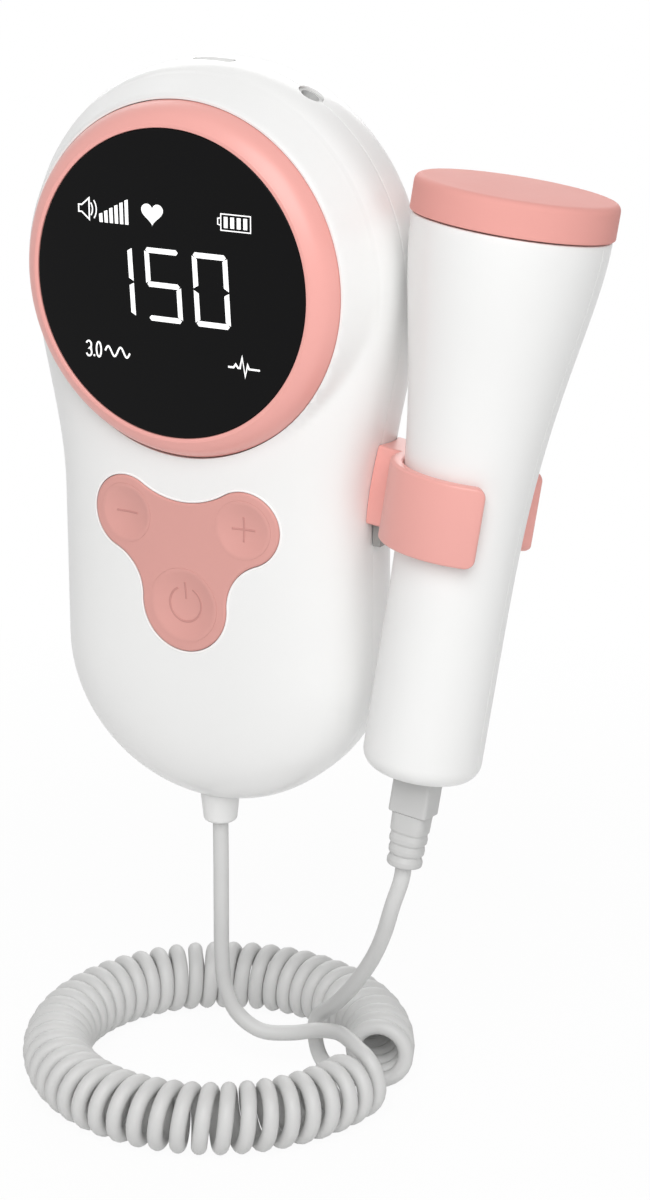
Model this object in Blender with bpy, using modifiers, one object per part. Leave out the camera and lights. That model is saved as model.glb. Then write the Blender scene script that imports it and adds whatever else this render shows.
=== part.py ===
"""Hand-held fetal doppler: display unit, ultrasound probe in its side clip, and curly cord.

Frame: +Z up, the display faces -Y, +X is the side that carries the probe. The origin is the
centre of the flat rear face. "Height" in a front frame is the distance in front of that face.
"""

import math

import bmesh
import bpy
import numpy as np
from mathutils import Matrix, Vector

# Units, running clearance and the length that cutters run past what they cut
mm = 0.001
gap = 0.3 * mm
overrun = 10.0 * mm
quarter_turn = math.radians(90.0)

# Housing outline, seen from the front
housing_height = 138.2 * mm
head_radius = 37.6 * mm
waist_inset = 6.2 * mm
flank_length = 43.0 * mm
foot_length = 29.0 * mm

# Housing section
rear_depth = 14.8 * mm
front_depth = 14.2 * mm
section_power = 2.87
rear_flat_share = 0.55
front_flat_share = 0.25
wall = 2.0 * mm

# Display
window_rise = 3.4 * mm
window_thickness = 1.4 * mm
bezel_inset = 5.8 * mm
bezel_width = 4.6 * mm
bezel_shoulder = 4.2 * mm
bezel_bow = 0.45 * mm
bezel_steps = 4
bezel_lip = 0.8 * mm
bezel_lip_rise = 0.15 * mm
bezel_wall = 2.4 * mm
bezel_shelf = 2.0 * mm
bezel_shelf_thickness = 1.4 * mm
cup_wall = 1.4 * mm
cup_floor = 1.5 * mm
cup_opening_inset = 3.0 * mm
collar_drop = 0.9 * mm
collar_land = 0.35 * mm
collar_foot_inset = 1.6 * mm
collar_foot_rise = 6.7 * mm
lcd_panel_border = 0.3 * mm
lcd_panel_thickness = 2.2 * mm

# Circuit board
board_thickness = 1.4 * mm
board_inset = 3.4 * mm
board_foot_gap = 11.1 * mm

# Keypad: two small lobes and one large lobe, joined by hollow waists
side_key_x = 12.3 * mm
side_key_gap = 6.3 * mm
side_lobe_radius = 7.0 * mm
side_key_radius = 5.5 * mm
power_key_step = 15.8 * mm
power_lobe_radius = 8.8 * mm
power_key_radius = 7.0 * mm
top_waist_radius = 16.5 * mm
side_waist_radius = 9.0 * mm
keypad_proud = 0.25 * mm
keypad_flange = 1.4 * mm
keypad_depth = 4.4 * mm
key_travel = 0.7 * mm
key_flange = 1.1 * mm
key_flange_thickness = 0.8 * mm
side_dish_depth = 0.6 * mm
power_dish_depth = 0.8 * mm
dish_rim = 0.6 * mm
dish_reach_share = 1.6
switch_side = 6.0 * mm
switch_base = 2.1 * mm
switch_stem_radius = 1.7 * mm
switch_slack = 0.3 * mm

# Rear cover, screws and posts
screw_head_radius = 2.8 * mm
screw_head_thickness = 1.4 * mm
screw_sink = 1.0 * mm
screw_radius = 1.3 * mm
screw_length = 9.5 * mm
screw_slot_width = 0.7 * mm
screw_slot_depth = 0.6 * mm
boss_wall = 1.2 * mm
boss_root_share = 0.6
boss_rise = 2.2 * mm
post_radius = 2.9 * mm
post_root = 1.3 * mm
head_post_inset = 9.9 * mm
head_post_angle = math.radians(34.0)
foot_post_inset = 15.4 * mm
foot_post_rise = 17.1 * mm
grille_slot_width = 1.6 * mm
grille_slot_length = 16.0 * mm
grille_pitch = 3.6 * mm
grille_slots = 5

# Speaker and battery
speaker_radius = 14.0 * mm
speaker_magnet_radius = 8.0 * mm
speaker_rim = 2.2 * mm
speaker_depth = 5.2 * mm
battery_side_inset = 14.4 * mm
battery_top_gap = 18.0 * mm
battery_foot_gap = 1.2 * mm
battery_depth = 8.0 * mm
battery_round = 1.6 * mm

# Sockets in the head
jack_angle = math.radians(60.0)
jack_mouth_radius = 2.3 * mm
jack_bore_radius = 1.75 * mm
jack_body_radius = 2.7 * mm
jack_sink = 0.5 * mm
jack_shoulder_gap = 0.9 * mm
jack_bore_depth = 9.0 * mm
jack_length = 12.0 * mm
port_width = 8.2 * mm
port_thickness = 2.6 * mm
port_wall = 0.3 * mm
port_tongue = 0.7 * mm
port_sink = 0.9 * mm
port_depth = 7.0 * mm
port_cavity_depth = 5.0 * mm
socket_cut = 5.0 * mm

# Cord gland under the housing
gland_lead = 2.2 * mm
gland_radius = 3.7 * mm
gland_tip_radius = 3.15 * mm
gland_length = 5.2 * mm
gland_flange = 0.8 * mm
gland_flange_gap = 2.4 * mm
gland_flange_thickness = 1.6 * mm
gland_round = 0.9 * mm

# Probe axis: its lead over the seam, its drop below the rail's top and its lean
probe_lead = 1.95 * mm
probe_drop = 5.0 * mm
probe_head_gap = 1.12 * mm
probe_rear_slope = 0.1101

# Probe
probe_below_clip = 51.1 * mm
probe_above_clip = 48.4 * mm
grip_radius = 10.75 * mm
neck_radius = 17.4 * mm
flare_drop = 38.0 * mm
flare_power = 2.05
probe_end_round = 3.5 * mm
probe_wall = 1.8 * mm
probe_floor = 2.0 * mm
cap_proud = 0.45 * mm
cap_height = 6.2 * mm
cap_round = 1.5 * mm
cap_face_thickness = 2.0 * mm
cap_spigot_length = 4.5 * mm
crystal_radius = 12.0 * mm
crystal_thickness = 2.0 * mm
probe_board_side_gap = 0.75 * mm
probe_board_head_room = 28.9 * mm
probe_board_thickness = 1.2 * mm
socket_wall = 2.2 * mm
socket_roof = 1.4 * mm

# Plug and its strain relief
tongue_width = 4.6 * mm
tongue_depth = 2.2 * mm
tongue_length = 6.6 * mm
plug_width = 6.5 * mm
plug_depth = 6.1 * mm
plug_height = 6.1 * mm
plug_round = 1.0 * mm
relief_radius = 3.25 * mm
relief_collar = 4.4 * mm
relief_ribs = 3
rib_pitch = 2.2 * mm
rib_groove = 0.5 * mm
relief_end_round = 1.2 * mm

# Clip and its rail
clip_height = 14.5 * mm
clip_wall = 1.9 * mm
clip_bore_radius = 12.3 * mm
clip_back_lip_angle = math.radians(48.0)
clip_front_lip_angle = math.radians(52.0)
clip_drop = 2.2 * mm
clip_edge_round = 0.5 * mm
clip_foot_width = 10.6 * mm
clip_foot_sink = 1.4 * mm
clip_standoff = 3.5 * mm
clip_foot_root = 8.6 * mm
rail_proud = 0.5 * mm
rail_width = 7.6 * mm
rail_lead = 0.6 * mm
rail_drop = 30.5 * mm
rail_length = 17.0 * mm

# Curly cord
cord_diameter = 3.0 * mm
floor_level = -127.0 * mm
coil_centre_x = 0.3 * mm
coil_centre_y = -19.0 * mm
coil_radius = 31.3 * mm
curl_radius = 5.2 * mm
curl_count = 44
curl_points = 9
coil_start_angle = math.radians(-2.0)
coil_sweep = math.radians(339.0)
curl_start_angle = math.radians(105.0)
curl_end_angle = math.radians(-90.0)
lead_step = 4.0 * mm

# Hand-chosen points of the two free leads, from the gland and from the plug
unit_lead_route = (
    Vector((0.0, -17.0, -84.0)) * mm,
    Vector((-0.2, -16.8, -94.0)) * mm,
    Vector((-0.7, -15.9, -103.0)) * mm,
    Vector((-0.6, -14.9, -110.0)) * mm,
    Vector((1.6, -14.2, -115.6)) * mm,
    Vector((6.2, -13.2, -118.7)) * mm,
    Vector((12.0, -11.4, -118.8)) * mm,
    Vector((17.6, -11.2, -117.4)) * mm,
    Vector((22.4, -13.8, -116.2)) * mm,
)
probe_lead_route = (
    Vector((41.0, -24.6, -80.5)) * mm,
    Vector((38.2, -22.6, -87.5)) * mm,
    Vector((34.2, -19.4, -94.6)) * mm,
    Vector((28.6, -15.6, -102.4)) * mm,
    Vector((22.0, -9.9, -110.2)) * mm,
    Vector((15.0, -4.2, -117.6)) * mm,
    Vector((11.0, -3.2, -122.2)) * mm,
    Vector((10.4, -6.6, -125.0)) * mm,
    Vector((14.2, -10.6, -125.45)) * mm,
)

# Facet counts
head_steps = 10
flank_steps = 6
side_steps = 2
foot_steps = 7
front_rings = 6
rear_rings = 5
round_steps = 44
small_steps = 16
probe_steps = 30
handle_rings = 11
bore_rings = 7
lobe_steps = 9
waist_steps = 6
slot_end_steps = 6
key_steps = 24
screw_steps = 12
relief_steps = 12
dish_rings = 4
clip_steps = 22
lip_steps = 6
edge_steps = 4
route_fineness = 24
tangent_nudge = 0.001


# Derived sizes and places of the display unit
display_z = housing_height / 2 - head_radius
foot_z = foot_length - housing_height / 2
waist_half_width = head_radius - waist_inset
seam_height = rear_depth
crown_height = seam_height + front_depth
bezel_radius = head_radius - bezel_inset
window_radius = bezel_radius - bezel_width
window_height = crown_height + window_rise
cup_opening_radius = window_radius - cup_opening_inset
collar_height = crown_height - collar_drop
collar_foot_radius = head_radius - collar_foot_inset
collar_foot_height = seam_height + collar_foot_rise
lcd_frame_side = math.sqrt(2.0) * (cup_opening_radius - 2 * gap)
lcd_panel_side = lcd_frame_side + 2 * lcd_panel_border
board_rear_height = seam_height + jack_body_radius + gap
board_front_height = board_rear_height + board_thickness
cup_floor_height = board_front_height + gap
bezel_base_height = cup_floor_height + cup_floor + gap
side_key_z = display_z - head_radius - side_key_gap
power_key_z = side_key_z - power_key_step
keypad_back_height = crown_height - keypad_depth
boss_height = wall + boss_rise
head_post_x = (head_radius - head_post_inset) * math.cos(head_post_angle)
head_post_z = display_z + (head_radius - head_post_inset) * math.sin(head_post_angle)
foot_post_x = waist_half_width - foot_post_inset
foot_post_z = foot_post_rise - housing_height / 2
gland_height = seam_height + gland_lead
gland_inside = wall + gland_flange_gap


def flank_half_width(z, inset=0.0):
    """Half-width of the housing on its flank: it eases from the head to the waist as a cosine."""
    share = (display_z - z) / flank_length
    ease = (1 + math.cos(math.pi * share)) / 2
    return waist_half_width - inset + (head_radius - waist_half_width) * ease


def handle_radius(level):
    """Radius of the handle at a level of the probe's axis: a slim grip that flares to the neck."""
    share = (level + flare_drop) / (probe_above_clip + flare_drop)
    share = min(max(share, 0.0), 1.0) ** flare_power
    ease = share * share * (3 - 2 * share)
    return grip_radius + (neck_radius - grip_radius) * ease


# Derived sizes and places of the rail, clip, probe and plug
rail_top = display_z - rail_drop
rail_outer = flank_half_width(rail_top) + rail_proud
rail_front = -seam_height - rail_lead
probe_x = rail_outer + clip_standoff + clip_wall + clip_bore_radius
probe_y = -seam_height - probe_lead
probe_z = rail_top - probe_drop
display_level = display_z - probe_z
probe_at_display = head_radius + probe_head_gap + handle_radius(display_level)
probe_side_slope = (probe_at_display - probe_x) / display_level
cap_radius = neck_radius + cap_proud
clip_foot_reach = probe_x - waist_half_width + clip_foot_sink
relief_length = relief_collar + relief_ribs * rib_pitch + relief_end_round
probe_axis = Vector((probe_side_slope, probe_rear_slope, 1.0)).normalized()
probe_frame_matrix = (
    Matrix.Translation(Vector((probe_x, probe_y, probe_z)))
    @ Vector((0.0, 0.0, 1.0)).rotation_difference(probe_axis).to_matrix().to_4x4()
)
front_frame_matrix = Matrix.Rotation(math.radians(90.0), 4, "X")


def clear_scene():
    for item in list(bpy.data.objects):
        bpy.data.objects.remove(item, do_unlink=True)


def new_collection(name):
    collection = bpy.data.collections.new(name)
    bpy.context.scene.collection.children.link(collection)
    return collection


def new_material(name, colour, roughness, metallic=0.0):
    material = bpy.data.materials.new(name)
    material.use_nodes = True
    shader = material.node_tree.nodes["Principled BSDF"]
    shader.inputs["Base Color"].default_value = (*colour, 1.0)
    shader.inputs["Roughness"].default_value = roughness
    shader.inputs["Metallic"].default_value = metallic
    material.diffuse_color = (*colour, 1.0)
    return material


def new_object(name, data, matrix, material=None):
    """A sub-part when it has a material, and otherwise a hidden cutter."""
    item = bpy.data.objects.new(name, data)
    item.matrix_world = matrix
    if material is None:
        cutters.objects.link(item)
        item.hide_render = True
        item.display_type = "WIRE"
    else:
        parts.objects.link(item)
        data.materials.append(material)
    return item


def mesh_from(name, bm):
    bmesh.ops.recalc_face_normals(bm, faces=bm.faces)
    mesh = bpy.data.meshes.new(name)
    bm.to_mesh(mesh)
    bm.free()
    return mesh


def smooth(item, degrees=35.0):
    item.data.shade_smooth()
    item.data.set_sharp_from_angle(angle=math.radians(degrees))


def boolean(target, tool, operation="DIFFERENCE"):
    modifier = target.modifiers.new(tool.name, "BOOLEAN")
    modifier.operation = operation
    modifier.solver = "EXACT"
    modifier.object = tool


def bevel(item, width, segments=1, degrees=40.0):
    modifier = item.modifiers.new("rounded_edges", "BEVEL")
    modifier.width = width
    modifier.segments = segments
    modifier.limit_method = "ANGLE"
    modifier.angle_limit = math.radians(degrees)


def box(name, low, high, matrix=None, material=None):
    """Box between two corners of its frame."""
    bm = bmesh.new()
    bmesh.ops.create_cube(bm, size=1.0)
    low = Vector(low)
    high = Vector(high)
    size = high - low
    for vertex in bm.verts:
        vertex.co = (low + high) / 2 + Vector(
            (vertex.co.x * size.x, vertex.co.y * size.y, vertex.co.z * size.z)
        )
    place = Matrix.Identity(4) if matrix is None else matrix
    return new_object(name, mesh_from(name, bm), place, material)


def rod(name, radius, centre, low, high, matrix=None, material=None, steps=small_steps):
    """Cylinder along its frame's Z, between two levels."""
    bm = bmesh.new()
    shift = Matrix.Translation(Vector((centre[0], centre[1], (low + high) / 2)))
    bmesh.ops.create_cone(
        bm, cap_ends=True, segments=steps, radius1=radius, radius2=radius, depth=high - low,
        matrix=shift,
    )
    place = Matrix.Identity(4) if matrix is None else matrix
    return new_object(name, mesh_from(name, bm), place, material)


def prism(name, outline, low, high, matrix=None, material=None):
    """Outline in its frame's XY, extruded along Z between two levels."""
    bm = bmesh.new()
    face = bm.faces.new([bm.verts.new((x, y, low)) for x, y in outline])
    grown = bmesh.ops.extrude_face_region(bm, geom=[face])
    lifted = [part for part in grown["geom"] if isinstance(part, bmesh.types.BMVert)]
    bmesh.ops.translate(bm, verts=lifted, vec=(0.0, 0.0, high - low))
    place = Matrix.Identity(4) if matrix is None else matrix
    return new_object(name, mesh_from(name, bm), place, material)


def turned(name, profile, matrix=None, material=None, steps=round_steps):
    """Closed profile of (radius, level) points, turned about its frame's Z with a Screw."""
    points = list(profile)
    twice_area = sum(
        a[0] * b[1] - b[0] * a[1] for a, b in zip(points, points[1:] + points[:1])
    )
    if twice_area > 0:
        points.reverse()
    bm = bmesh.new()
    verts = [bm.verts.new((radius, 0.0, level)) for radius, level in points]
    for first, second in zip(verts, verts[1:] + verts[:1]):
        if first.co.x > 0 or second.co.x > 0:
            bm.edges.new((first, second))
    mesh = bpy.data.meshes.new(name)
    bm.to_mesh(mesh)
    bm.free()
    place = Matrix.Identity(4) if matrix is None else matrix
    item = new_object(name, mesh, place, material)
    screw = item.modifiers.new("turn", "SCREW")
    screw.axis = "Z"
    screw.angle = math.radians(360.0)
    screw.steps = steps
    screw.render_steps = steps
    screw.use_merge_vertices = True
    screw.merge_threshold = gap / 100
    return item


def arc(centre, radius, start, end, count):
    """Points on an arc, both ends included."""
    angles = [start + (end - start) * k / count for k in range(count + 1)]
    return [
        (centre[0] + radius * math.cos(a), centre[1] + radius * math.sin(a)) for a in angles
    ]


def housing_half_outline(inset):
    """Right half of the outline, top to bottom, each point with the spine point it looks to.

    A round head, a flank that eases from the head to the waist as a cosine, a straight side
    and a half-ellipse foot. The inset moves the whole outline inwards.
    """
    radius = head_radius - inset
    half = waist_half_width - inset
    foot = foot_length - inset
    points = []
    for k in range(head_steps + 1):
        angle = quarter_turn * (1 - k / head_steps)
        points.append((radius * math.cos(angle), display_z + radius * math.sin(angle), display_z))
    for k in range(1, flank_steps + 1):
        z = display_z - flank_length * k / flank_steps
        points.append((flank_half_width(z, inset), z, z))
    side_top = display_z - flank_length
    for k in range(1, side_steps):
        z = side_top + (foot_z - side_top) * k / side_steps
        points.append((half, z, z))
    for k in range(foot_steps + 1):
        angle = quarter_turn * k / foot_steps
        points.append((half * math.cos(angle), foot_z - foot * math.sin(angle), foot_z))
    return points


def housing_outline(inset):
    right = housing_half_outline(inset)
    left = [(-x, z, spine) for x, z, spine in reversed(right[1:-1])]
    return right + left


def pebble(name, inset, material=None):
    """Housing form: the outline drawn in towards its spine as the surface rises.

    Ring share and height follow a superellipse. The rear ends in a flat face. An inset gives
    the inner wall, and a negative one a form that clears the housing.
    """
    outline = housing_outline(inset)
    rear = rear_depth - inset
    front = front_depth - inset
    levels = []
    for k in range(rear_rings, 0, -1):
        angle = quarter_turn * k / rear_rings
        draw = max(math.cos(angle), 0.0) ** (2 / section_power)
        rise = math.sin(angle) ** (2 / section_power)
        share = rear_flat_share + (1 - rear_flat_share) * draw
        levels.append((share, seam_height - rear * rise))
    last_angle = math.acos(front_flat_share ** (section_power / 2))
    for k in range(front_rings + 1):
        angle = last_angle * k / front_rings
        draw = math.cos(angle) ** (2 / section_power)
        rise = math.sin(angle) ** (2 / section_power)
        levels.append((draw, seam_height + front * rise))
    bm = bmesh.new()
    rings = []
    for share, height in levels:
        ring = [bm.verts.new((x * share, spine + (z - spine) * share, height))
                for x, z, spine in outline]
        rings.append(ring)
    for lower, upper in zip(rings, rings[1:]):
        for a in range(len(outline)):
            b = (a + 1) % len(outline)
            bm.faces.new((lower[a], lower[b], upper[b], upper[a]))
    bm.faces.new(rings[0])
    bm.faces.new(rings[-1])
    return new_object(name, mesh_from(name, bm), front_frame_matrix, material)


def outside_tangent_centre(first, first_radius, second, second_radius, radius, side):
    """Centre of the circle that touches two circles from outside, on the chosen side."""
    a = Vector(first)
    b = Vector(second)
    along = b - a
    distance = along.length
    reach_a = first_radius + radius
    reach_b = second_radius + radius
    share = (reach_a ** 2 - reach_b ** 2 + distance ** 2) / (2 * distance ** 2)
    rise = math.sqrt(reach_a ** 2 - (share * distance) ** 2)
    normal = Vector((-along.y, along.x)).normalized()
    return a + along * share + normal * rise * side


def keypad_outline(offset):
    """Three round lobes joined by hollow waist arcs, all moved outwards by the offset."""
    right = (side_key_x, side_key_z)
    power = (0.0, power_key_z)
    left = (-side_key_x, side_key_z)
    lobes = (
        (right, side_lobe_radius),
        (left, side_lobe_radius),
        (power, power_lobe_radius),
    )
    waists = (top_waist_radius, side_waist_radius, side_waist_radius)
    centres = []
    for k in range(3):
        here, here_radius = lobes[k]
        there, there_radius = lobes[(k + 1) % 3]
        centres.append(
            outside_tangent_centre(here, here_radius, there, there_radius, waists[k], -1)
        )
    points = []
    for k in range(3):
        centre = Vector(lobes[k][0])
        before = centres[k - 1] - centre
        after = centres[k] - centre
        start = math.atan2(before.y, before.x)
        end = math.atan2(after.y, after.x)
        while end < start:
            end += 2 * math.pi
        points += arc(centre, lobes[k][1] + offset, start, end, lobe_steps)
        following = Vector(lobes[(k + 1) % 3][0])
        back = centre - centres[k]
        forth = following - centres[k]
        start = math.atan2(back.y, back.x)
        end = math.atan2(forth.y, forth.x)
        while end > start:
            end -= 2 * math.pi
        points += arc(centres[k], waists[k] - offset, start, end, waist_steps)[1:-1]
    return points


def slot_outline(width, length):
    """Slot with round ends, long way across."""
    reach = (length - width) / 2
    right = arc((reach, 0.0), width / 2, -quarter_turn, quarter_turn, slot_end_steps)
    left = arc((-reach, 0.0), width / 2, quarter_turn, 3 * quarter_turn, slot_end_steps)
    return right + left


def post_places():
    return (
        ("upper_left", -head_post_x, head_post_z),
        ("upper_right", head_post_x, head_post_z),
        ("lower_left", -foot_post_x, foot_post_z),
        ("lower_right", foot_post_x, foot_post_z),
    )


def socket_cutters():
    """Cutters that both housing shells share: gland, earphone and charging holes."""
    gland_place = Matrix.Translation(Vector((0.0, -gland_height, 0.0)))
    below = -housing_height / 2
    gland_hole = rod("gland_hole", gland_radius + gap, (0.0, 0.0), below - overrun,
                     below + gland_inside, gland_place)
    jack_hole = rod("jack_hole", jack_mouth_radius + gap, (0.0, 0.0), -socket_cut, overrun,
                    jack_matrix)
    port_hole = prism("port_hole",
                      slot_outline(port_thickness + 2 * gap, port_width + 2 * gap),
                      -socket_cut, overrun, port_matrix)
    return gland_hole, jack_hole, port_hole


def make_front_shell():
    shell = pebble("front_shell", 0.0, white_plastic)
    boolean(shell, cavity_form)
    boolean(shell, box("behind_seam",
                       (-housing_height, -housing_height, -overrun),
                       (housing_height, housing_height, seam_height + gap / 2),
                       front_frame_matrix))
    cup = rod("display_cup", bezel_radius + gap + cup_wall, (0.0, display_z), cup_floor_height,
              window_height, front_frame_matrix, steps=round_steps)
    boolean(cup, pebble("cup_limit", wall / 2), "INTERSECT")
    boolean(shell, cup, "UNION")
    seat = bezel_radius + gap
    collar = (
        (seat - cup_wall, collar_height), (seat + collar_land, collar_height),
        (collar_foot_radius, collar_foot_height), (seat - cup_wall, collar_foot_height),
    )
    display_place = front_frame_matrix @ Matrix.Translation(Vector((0.0, display_z, 0.0)))
    boolean(shell, turned("display_collar", collar, display_place), "UNION")
    for name, x, z in post_places():
        top = cup_floor_height + cup_floor / 2
        if z == foot_post_z:
            top = crown_height - wall - post_root
        boolean(shell, rod("post_" + name, post_radius, (x, z), boss_height + gap, top,
                           front_frame_matrix), "UNION")
    boolean(shell, rod("bezel_seat", bezel_radius + gap, (0.0, display_z),
                       cup_floor_height + cup_floor, window_height + overrun,
                       front_frame_matrix, steps=round_steps))
    boolean(shell, rod("display_hole", cup_opening_radius, (0.0, display_z), 0.0,
                       window_height + overrun, front_frame_matrix, steps=round_steps))
    boolean(shell, prism("keypad_hole", keypad_outline(gap), board_front_height,
                         window_height + overrun, front_frame_matrix))
    for name, x, z in post_places():
        boolean(shell, rod("pilot_" + name, screw_radius + gap, (x, z), 0.0,
                           screw_sink + screw_head_thickness + screw_length + 2 * gap,
                           front_frame_matrix))
    for tool in shared_cutters:
        boolean(shell, tool)
    weld = shell.modifiers.new("weld", "WELD")
    weld.merge_threshold = gap / 100
    smooth(shell)
    return shell


def make_rear_cover():
    cover = pebble("rear_cover", 0.0, white_plastic)
    boolean(cover, cavity_form)
    boolean(cover, box("before_seam",
                       (-housing_height, -housing_height, seam_height - gap / 2),
                       (housing_height, housing_height, window_height + overrun),
                       front_frame_matrix))
    for name, x, z in post_places():
        boolean(cover, rod("boss_" + name, screw_head_radius + gap + boss_wall, (x, z),
                           wall * boss_root_share, boss_height, front_frame_matrix),
                "UNION")
    for name, x, z in post_places():
        boolean(cover, rod("sink_" + name, screw_head_radius + gap, (x, z), -overrun,
                           screw_sink + screw_head_thickness + gap, front_frame_matrix))
        boolean(cover, rod("through_" + name, screw_radius + gap, (x, z), -overrun,
                           boss_height + gap, front_frame_matrix))
    for k in range(grille_slots):
        z = display_z + (k - (grille_slots - 1) / 2) * grille_pitch
        place = front_frame_matrix @ Matrix.Translation(Vector((0.0, z, 0.0)))
        boolean(cover, prism(f"grille_slot_{k}",
                             slot_outline(grille_slot_width, grille_slot_length),
                             -overrun, wall + gap, place))
    for tool in shared_cutters:
        boolean(cover, tool)
    smooth(cover)
    return cover


def make_screws():
    head_low = screw_sink
    head_high = screw_sink + screw_head_thickness
    for name, x, z in post_places():
        place = front_frame_matrix @ Matrix.Translation(Vector((x, z, 0.0)))
        profile = (
            (0.0, head_low), (screw_head_radius, head_low), (screw_head_radius, head_high),
            (screw_radius, head_high), (screw_radius, head_high + screw_length),
            (0.0, head_high + screw_length),
        )
        screw = turned("screw_" + name, profile, place, steel, steps=screw_steps)
        boolean(screw, box("slot_across_" + name,
                           (-screw_head_radius, -screw_slot_width / 2, head_low - overrun),
                           (screw_head_radius, screw_slot_width / 2, head_low + screw_slot_depth),
                           place))
        smooth(screw)


def make_display():
    centre = front_frame_matrix @ Matrix.Translation(Vector((0.0, display_z, 0.0)))
    face = window_height + bezel_lip_rise
    shoulder_low = face - bezel_shoulder
    seat = window_radius + gap
    lip = seat + bezel_lip
    shelf_top = window_height - window_thickness - gap
    shelf_low = shelf_top - bezel_shelf_thickness
    inner = bezel_radius - bezel_wall
    profile = [(bezel_radius, bezel_base_height)]
    for k in range(bezel_steps + 1):
        share = k / bezel_steps
        bow = bezel_bow * math.sin(math.pi * share)
        profile.append((bezel_radius + (lip - bezel_radius) * share + bow,
                        shoulder_low + bezel_shoulder * share + bow))
    profile += [
        (seat, face), (seat, shelf_top), (window_radius - bezel_shelf, shelf_top),
        (window_radius - bezel_shelf, shelf_low), (inner, shelf_low),
        (inner, bezel_base_height),
    ]
    smooth(turned("bezel_ring", profile, centre, pink_plastic))
    window = rod("display_window", window_radius, (0.0, 0.0), window_height - window_thickness,
                 window_height, centre, black_glass, steps=round_steps)
    smooth(window)
    panel_top = shelf_top
    panel_low = panel_top - lcd_panel_thickness
    half = lcd_panel_side / 2
    box("lcd_panel", (-half, -half, panel_low), (half, half, panel_top), centre, lcd_grey)
    half = lcd_frame_side / 2
    box("lcd_frame", (-half, -half, board_front_height + gap), (half, half, panel_low - gap),
        centre, frame_white)


def make_keypad():
    pad = prism("keypad_pad", keypad_outline(0.0), keypad_back_height, window_height,
                front_frame_matrix, pink_rubber)
    boolean(pad, pebble("keypad_crown", -keypad_proud), "INTERSECT")
    flange = prism("keypad_flange", keypad_outline(keypad_flange), keypad_back_height,
                   window_height, front_frame_matrix)
    boolean(flange, pebble("under_shell", wall + gap), "INTERSECT")
    boolean(pad, flange, "UNION")
    keys = (
        ("minus", -side_key_x, side_key_z, side_key_radius, side_dish_depth),
        ("plus", side_key_x, side_key_z, side_key_radius, side_dish_depth),
        ("power", 0.0, power_key_z, power_key_radius, power_dish_depth),
    )
    crown = pebble("key_crown", -keypad_proud)
    for name, x, z, radius, dish in keys:
        boolean(pad, rod("key_hole_" + name, radius + gap, (x, z), 0.0, window_height + overrun,
                         front_frame_matrix, steps=key_steps))
        place = front_frame_matrix @ Matrix.Translation(Vector((x, z, 0.0)))
        flange_top = keypad_back_height - gap
        flange_low = flange_top - key_flange_thickness
        profile = (
            (0.0, flange_low), (radius + key_flange, flange_low),
            (radius + key_flange, flange_top), (radius, flange_top),
            (radius, window_height), (0.0, window_height),
        )
        key = turned("button_" + name, profile, place, pink_rubber, steps=key_steps)
        boolean(key, crown, "INTERSECT")
        boolean(key, dish_cutter(name, x, z, radius - dish_rim, dish))
        smooth(key)
        switch_high = flange_low - key_travel - switch_slack
        make_switch(name, place, switch_high)
    smooth(pad)


def keypad_crown(x, z):
    """Height of the keypad's crown above the rear face, at the straight part of the housing."""
    if z < foot_z:
        share = math.hypot(x / waist_half_width, (foot_z - z) / foot_length)
    else:
        share = abs(x) / waist_half_width
    rise = (1 - share ** section_power) ** (1 / section_power)
    return seam_height + (front_depth + keypad_proud) * rise


def dish_cutter(name, x, z, radius, depth):
    """Ball that sinks a shallow finger dish, square to the crown of the housing there."""
    ball = (radius ** 2 + depth ** 2) / (2 * depth)
    step = side_key_radius / 2
    slope = (keypad_crown(x + step, z) - keypad_crown(x - step, z)) / (2 * step)
    normal = Vector((-slope, 0.0, 1.0)).normalized()
    centre = Vector((x, z, keypad_crown(x, z) - depth)) + normal * ball
    reach = math.asin(dish_reach_share * radius / ball)
    bowl = arc((0.0, 0.0), ball, -quarter_turn, reach - quarter_turn, dish_rings)
    turn = Vector((0.0, 0.0, 1.0)).rotation_difference(normal).to_matrix().to_4x4()
    place = front_frame_matrix @ Matrix.Translation(centre) @ turn
    return turned("dish_" + name, [(0.0, bowl[-1][1]), (0.0, -ball)] + bowl[1:], place,
                  steps=key_steps)


def make_switch(name, place, top):
    half = switch_side / 2
    low = board_front_height + gap
    switch = box("switch_" + name, (-half, -half, low), (half, half, low + switch_base), place,
                 black_plastic)
    boolean(switch, rod("switch_stem_" + name, switch_stem_radius, (0.0, 0.0),
                        low + switch_base / 2, top, place), "UNION")


def make_board():
    outline = [(x, z) for x, z, spine in housing_outline(board_inset)]
    board = prism("main_board", outline, board_rear_height, board_front_height,
                  front_frame_matrix, green_board)
    boolean(board, box("board_end",
                       (-housing_height, -housing_height, 0.0),
                       (housing_height, board_foot_gap - housing_height / 2, window_height),
                       front_frame_matrix))
    for name, x, z in post_places():
        boolean(board, rod("board_hole_" + name, post_radius + gap, (x, z), 0.0, window_height,
                           front_frame_matrix))


def make_speaker_and_battery():
    centre = front_frame_matrix @ Matrix.Translation(Vector((0.0, display_z, 0.0)))
    low = wall + gap
    profile = (
        (0.0, low), (speaker_radius, low), (speaker_radius, low + speaker_rim),
        (speaker_magnet_radius, low + speaker_rim), (speaker_magnet_radius, low + speaker_depth),
        (0.0, low + speaker_depth),
    )
    smooth(turned("speaker", profile, centre, black_plastic, steps=32))
    half = waist_half_width - battery_side_inset
    top = display_z - speaker_radius - battery_top_gap
    boss = screw_head_radius + gap + boss_wall
    battery = box("battery_pack", (-half, foot_post_z + boss + battery_foot_gap, low + gap),
                  (half, top, low + gap + battery_depth), front_frame_matrix, battery_grey)
    bevel(battery, battery_round, 2)


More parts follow.
